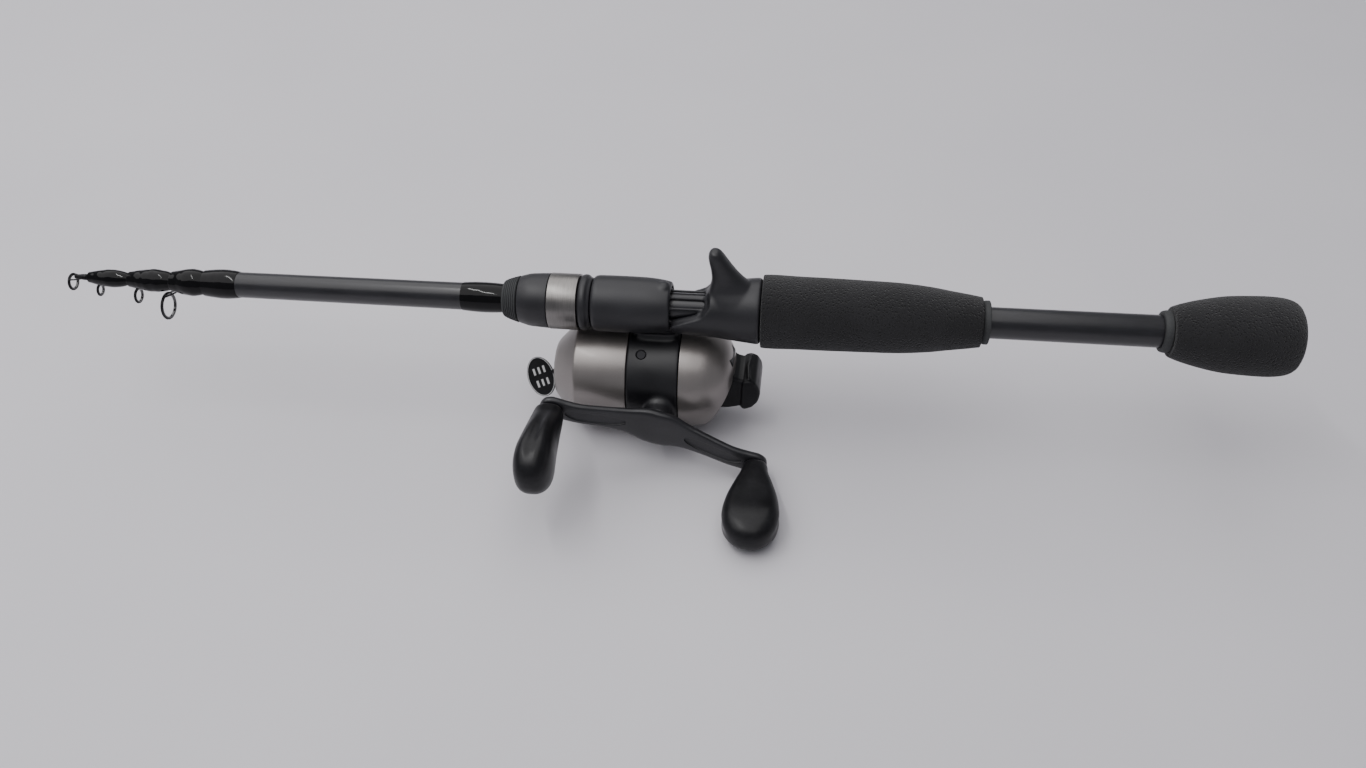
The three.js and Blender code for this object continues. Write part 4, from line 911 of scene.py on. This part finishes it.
# Paddles: narrow at the neck, broad at the far end, dished on the flat sides and grooved along the others.
paddle = {"from": -44.6, "to": -90.8, "bore": 1.9, "dish": 0.09, "seam": 0.11}
paddleLine = [  # share of the length, half width, half thickness
    (0, 4.8, 5.2), (0.02, 5.8, 6.4), (0.12, 6.7, 7.2), (0.25, 9.0, 7.5), (0.4, 11.4, 7.8),
    (0.55, 12.9, 8.4), (0.68, 13.3, 9.0), (0.8, 12.3, 8.7), (0.89, 10.1, 7.4), (0.95, 7.4, 5.7),
    (0.985, 4.6, 3.7), (1, 1.6, 1.4),
]


def paddleShape(share, angle):
    waist = max(0, sin(pi * min(1, max(0, (share - 0.06) / 0.74)))) ** 1.5
    flat = exp(-((abs(sin(angle)) - 1) / 0.16) ** 2)
    narrow = exp(-(sin(angle) / 0.2) ** 2)
    return 1 - waist * (paddle["dish"] * flat + paddle["seam"] * narrow)


def makePaddle(end, side, roll):
    length, bore = paddle["from"] - paddle["to"], paddle["bore"]
    stations = []
    for share, wide, thick in paddleLine:
        stations.append(((0, paddle["from"] - share * length, 0), (wide, 0, 0), (0, 0, thick), 2.5))
    bm = lofted(finely(stations, 4), 96, paddleShape)
    bm = moved(cutAway(bm, crosswise([(40, 0), (40, bore), (85, bore), (85, 0)], 32)), turn=roll)
    at = Vector((side * crank["half"], 0, 0))
    at.rotate(Matrix.Rotation(crank["angle"], 3, "Y"))
    piece("polished_knob_" + end, moved(bm, at), crankZero, glossAbs, end + "_handle",
          ["knob_" + end])


makePaddle("front", -1, pi / 2)
makePaddle("rear", 1, 0)
print("crank made")


# Line tag: an oval plate with a raised rim and plain bars for print, on a neck that hangs in the eyelet.
tag = {
    "long": 10.0, "short": 6.8, "thick": 1.2, "rim": 0.7, "middle": (-9.9, -0.8, -6.7),
    "columns": (-3.1, 3.1), "rows": (-2.6, 0, 2.6), "barHalf": (1.7, 0.55), "neck": 0.7,
}
neckLine = [
    (0.4, 0, 0.4), (0, 0, 0), (-1.2, -0.05, -0.9), (-2.4, -0.1, -1.8), (-3.7, -0.25, -3.0), (-5, -0.4, -4.2),
]
tagFace = Vector((-0.1, -0.76, 0.64)).normalized()
tagLength = Vector((0.4, -0.55, -0.75))
tagLength = (tagLength - tagFace * tagLength.dot(tagFace)).normalized()
tagAxes = Matrix((tagLength, tagFace.cross(tagLength), tagFace)).transposed().to_4x4()
tagPlace = Matrix.Translation(tag["middle"]) @ tagAxes
tagZero = reelZero + Vector((cover["front"] + 0.3, 0, 0))


def ovalFace(long, short):
    bm = bmesh.new()
    bmesh.ops.create_circle(bm, cap_ends=True, segments=96, radius=1)
    bmesh.ops.scale(bm, vec=(long, short, 1), verts=bm.verts)
    return bm


def makeTag():
    bm = ovalFace(tag["long"], tag["short"])
    made = bmesh.ops.extrude_face_region(bm, geom=bm.faces[:])["geom"]
    fresh = [v for v in made if isinstance(v, bmesh.types.BMVert)]
    bmesh.ops.translate(bm, vec=(0, 0, tag["thick"]), verts=fresh)
    top = [f for f in made if isinstance(f, bmesh.types.BMFace)]
    bmesh.ops.inset_individual(bm, faces=top, thickness=tag["rim"], depth=0)
    bmesh.ops.inset_individual(bm, faces=top, thickness=0.15, depth=-0.25)
    bmesh.ops.translate(bm, vec=(0, 0, -tag["thick"] / 2), verts=bm.verts)
    bmesh.ops.recalc_face_normals(bm, faces=bm.faces)
    bmesh.ops.transform(bm, matrix=tagPlace, verts=bm.verts)
    whole = joined(bm, bar(neckLine, tag["neck"]))
    piece("moulded_line_tag", whole, tagZero, glossAbs, "tag", ["line_tag"])
    length, width = tag["barHalf"]
    bars = []
    for x in tag["columns"]:
        for y in tag["rows"]:
            bars.append(box((x - length, y - width, 0.3), (x + length, y + width, 0.52), 0.08))
    marks = joined(*bars, printedRim())
    bmesh.ops.transform(marks, matrix=tagPlace, verts=marks.verts)
    piece("printed_tag_bars", marks, tagZero, printWhite, "tag")


# A thin oval line of print on the tag's raised rim.
def printedRim():
    bm = ovalFace(tag["long"] - 0.25, tag["short"] - 0.25)
    outer = bm.faces[:]
    bmesh.ops.inset_individual(bm, faces=outer, thickness=0.3, depth=0)
    bmesh.ops.delete(bm, geom=outer, context="FACES_ONLY")
    made = bmesh.ops.extrude_face_region(bm, geom=bm.faces[:])["geom"]
    fresh = [v for v in made if isinstance(v, bmesh.types.BMVert)]
    bmesh.ops.translate(bm, vec=(0, 0, 0.08), verts=fresh)
    bmesh.ops.translate(bm, vec=(0, 0, tag["thick"] / 2), verts=bm.verts)
    bmesh.ops.recalc_face_normals(bm, faces=bm.faces)
    return bm


makeTag()
print("tag made")


# CAD parts that keep their shape take a finish of their own.
keptFinishes = {
    "button_pin": bareSteel, "crank_shaft": bareSteel, "ratchet_wheel": bareSteel, "pawl": bareSteel,
    "centre_shaft": bareSteel, "shaft_spring": bareSteel, "pickup_pin": bareSteel, "spinner_head": bareSteel,
    "knob_rivet_front": bareSteel, "knob_rivet_rear": bareSteel, "band_screw": blackScrew,
    "crank_bushing": machinedBrass, "drive_gear": machinedBrass, "pinion": machinedBrass,
    "spinner_nut": machinedBrass, "spool": acetal, "wound_line": nylonLine, "drag_washer": pressedFelt,
    "drag_dial": glossAbs, "butt_plug": ringRubber,
}
for node, material in keptFinishes.items():
    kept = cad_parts[node]
    kept.data.materials.clear()
    kept.data.materials.append(material)
print("finishes put on", len(keptFinishes), "kept parts")


# Floor and room: a painted table top, pale grey and very slightly violet, with a faint broad mottling.
tableTop = {"half": 4, "mottle": 180, "tones": ("#cfcdd3", "#d9d7db"), "roughness": 0.55}
room = {"colour": "#b9bac0", "strength": 0.55}


def makeFloor():
    bm = bmesh.new()
    bmesh.ops.create_grid(bm, x_segments=1, y_segments=1, size=tableTop["half"])
    floor = objectOf(bm, "floor")
    paint = bpy.data.materials.new("painted_table_top")
    paint.use_nodes = True
    tree = paint.node_tree
    tree.nodes.clear()
    place = addNode(tree, "ShaderNodeTexCoord", {}).outputs["Object"]
    cloud = addNode(tree, "ShaderNodeTexNoise", {
        "Vector": place, "Scale": perMetre(tableTop["mottle"]), "Detail": 5,
    }).outputs["Fac"]
    colour = addNode(tree, "ShaderNodeMix", {
        0: cloud, 6: linear(tableTop["tones"][0]), 7: linear(tableTop["tones"][1]),
    }, data_type="RGBA").outputs[2]
    surface = addNode(tree, "ShaderNodeBsdfPrincipled", {
        "Base Color": colour, "Roughness": tableTop["roughness"],
    })
    addNode(tree, "ShaderNodeOutputMaterial", {"Surface": surface.outputs["BSDF"]})
    floor.data.materials.append(paint)


makeFloor()
world = bpy.data.worlds.new("room")
world.use_nodes = True
background = world.node_tree.nodes["Background"]
background.inputs["Color"].default_value = linear(room["colour"])
background.inputs["Strength"].default_value = room["strength"]
bpy.context.scene.world = world

print("pieces made:", len(pieces))
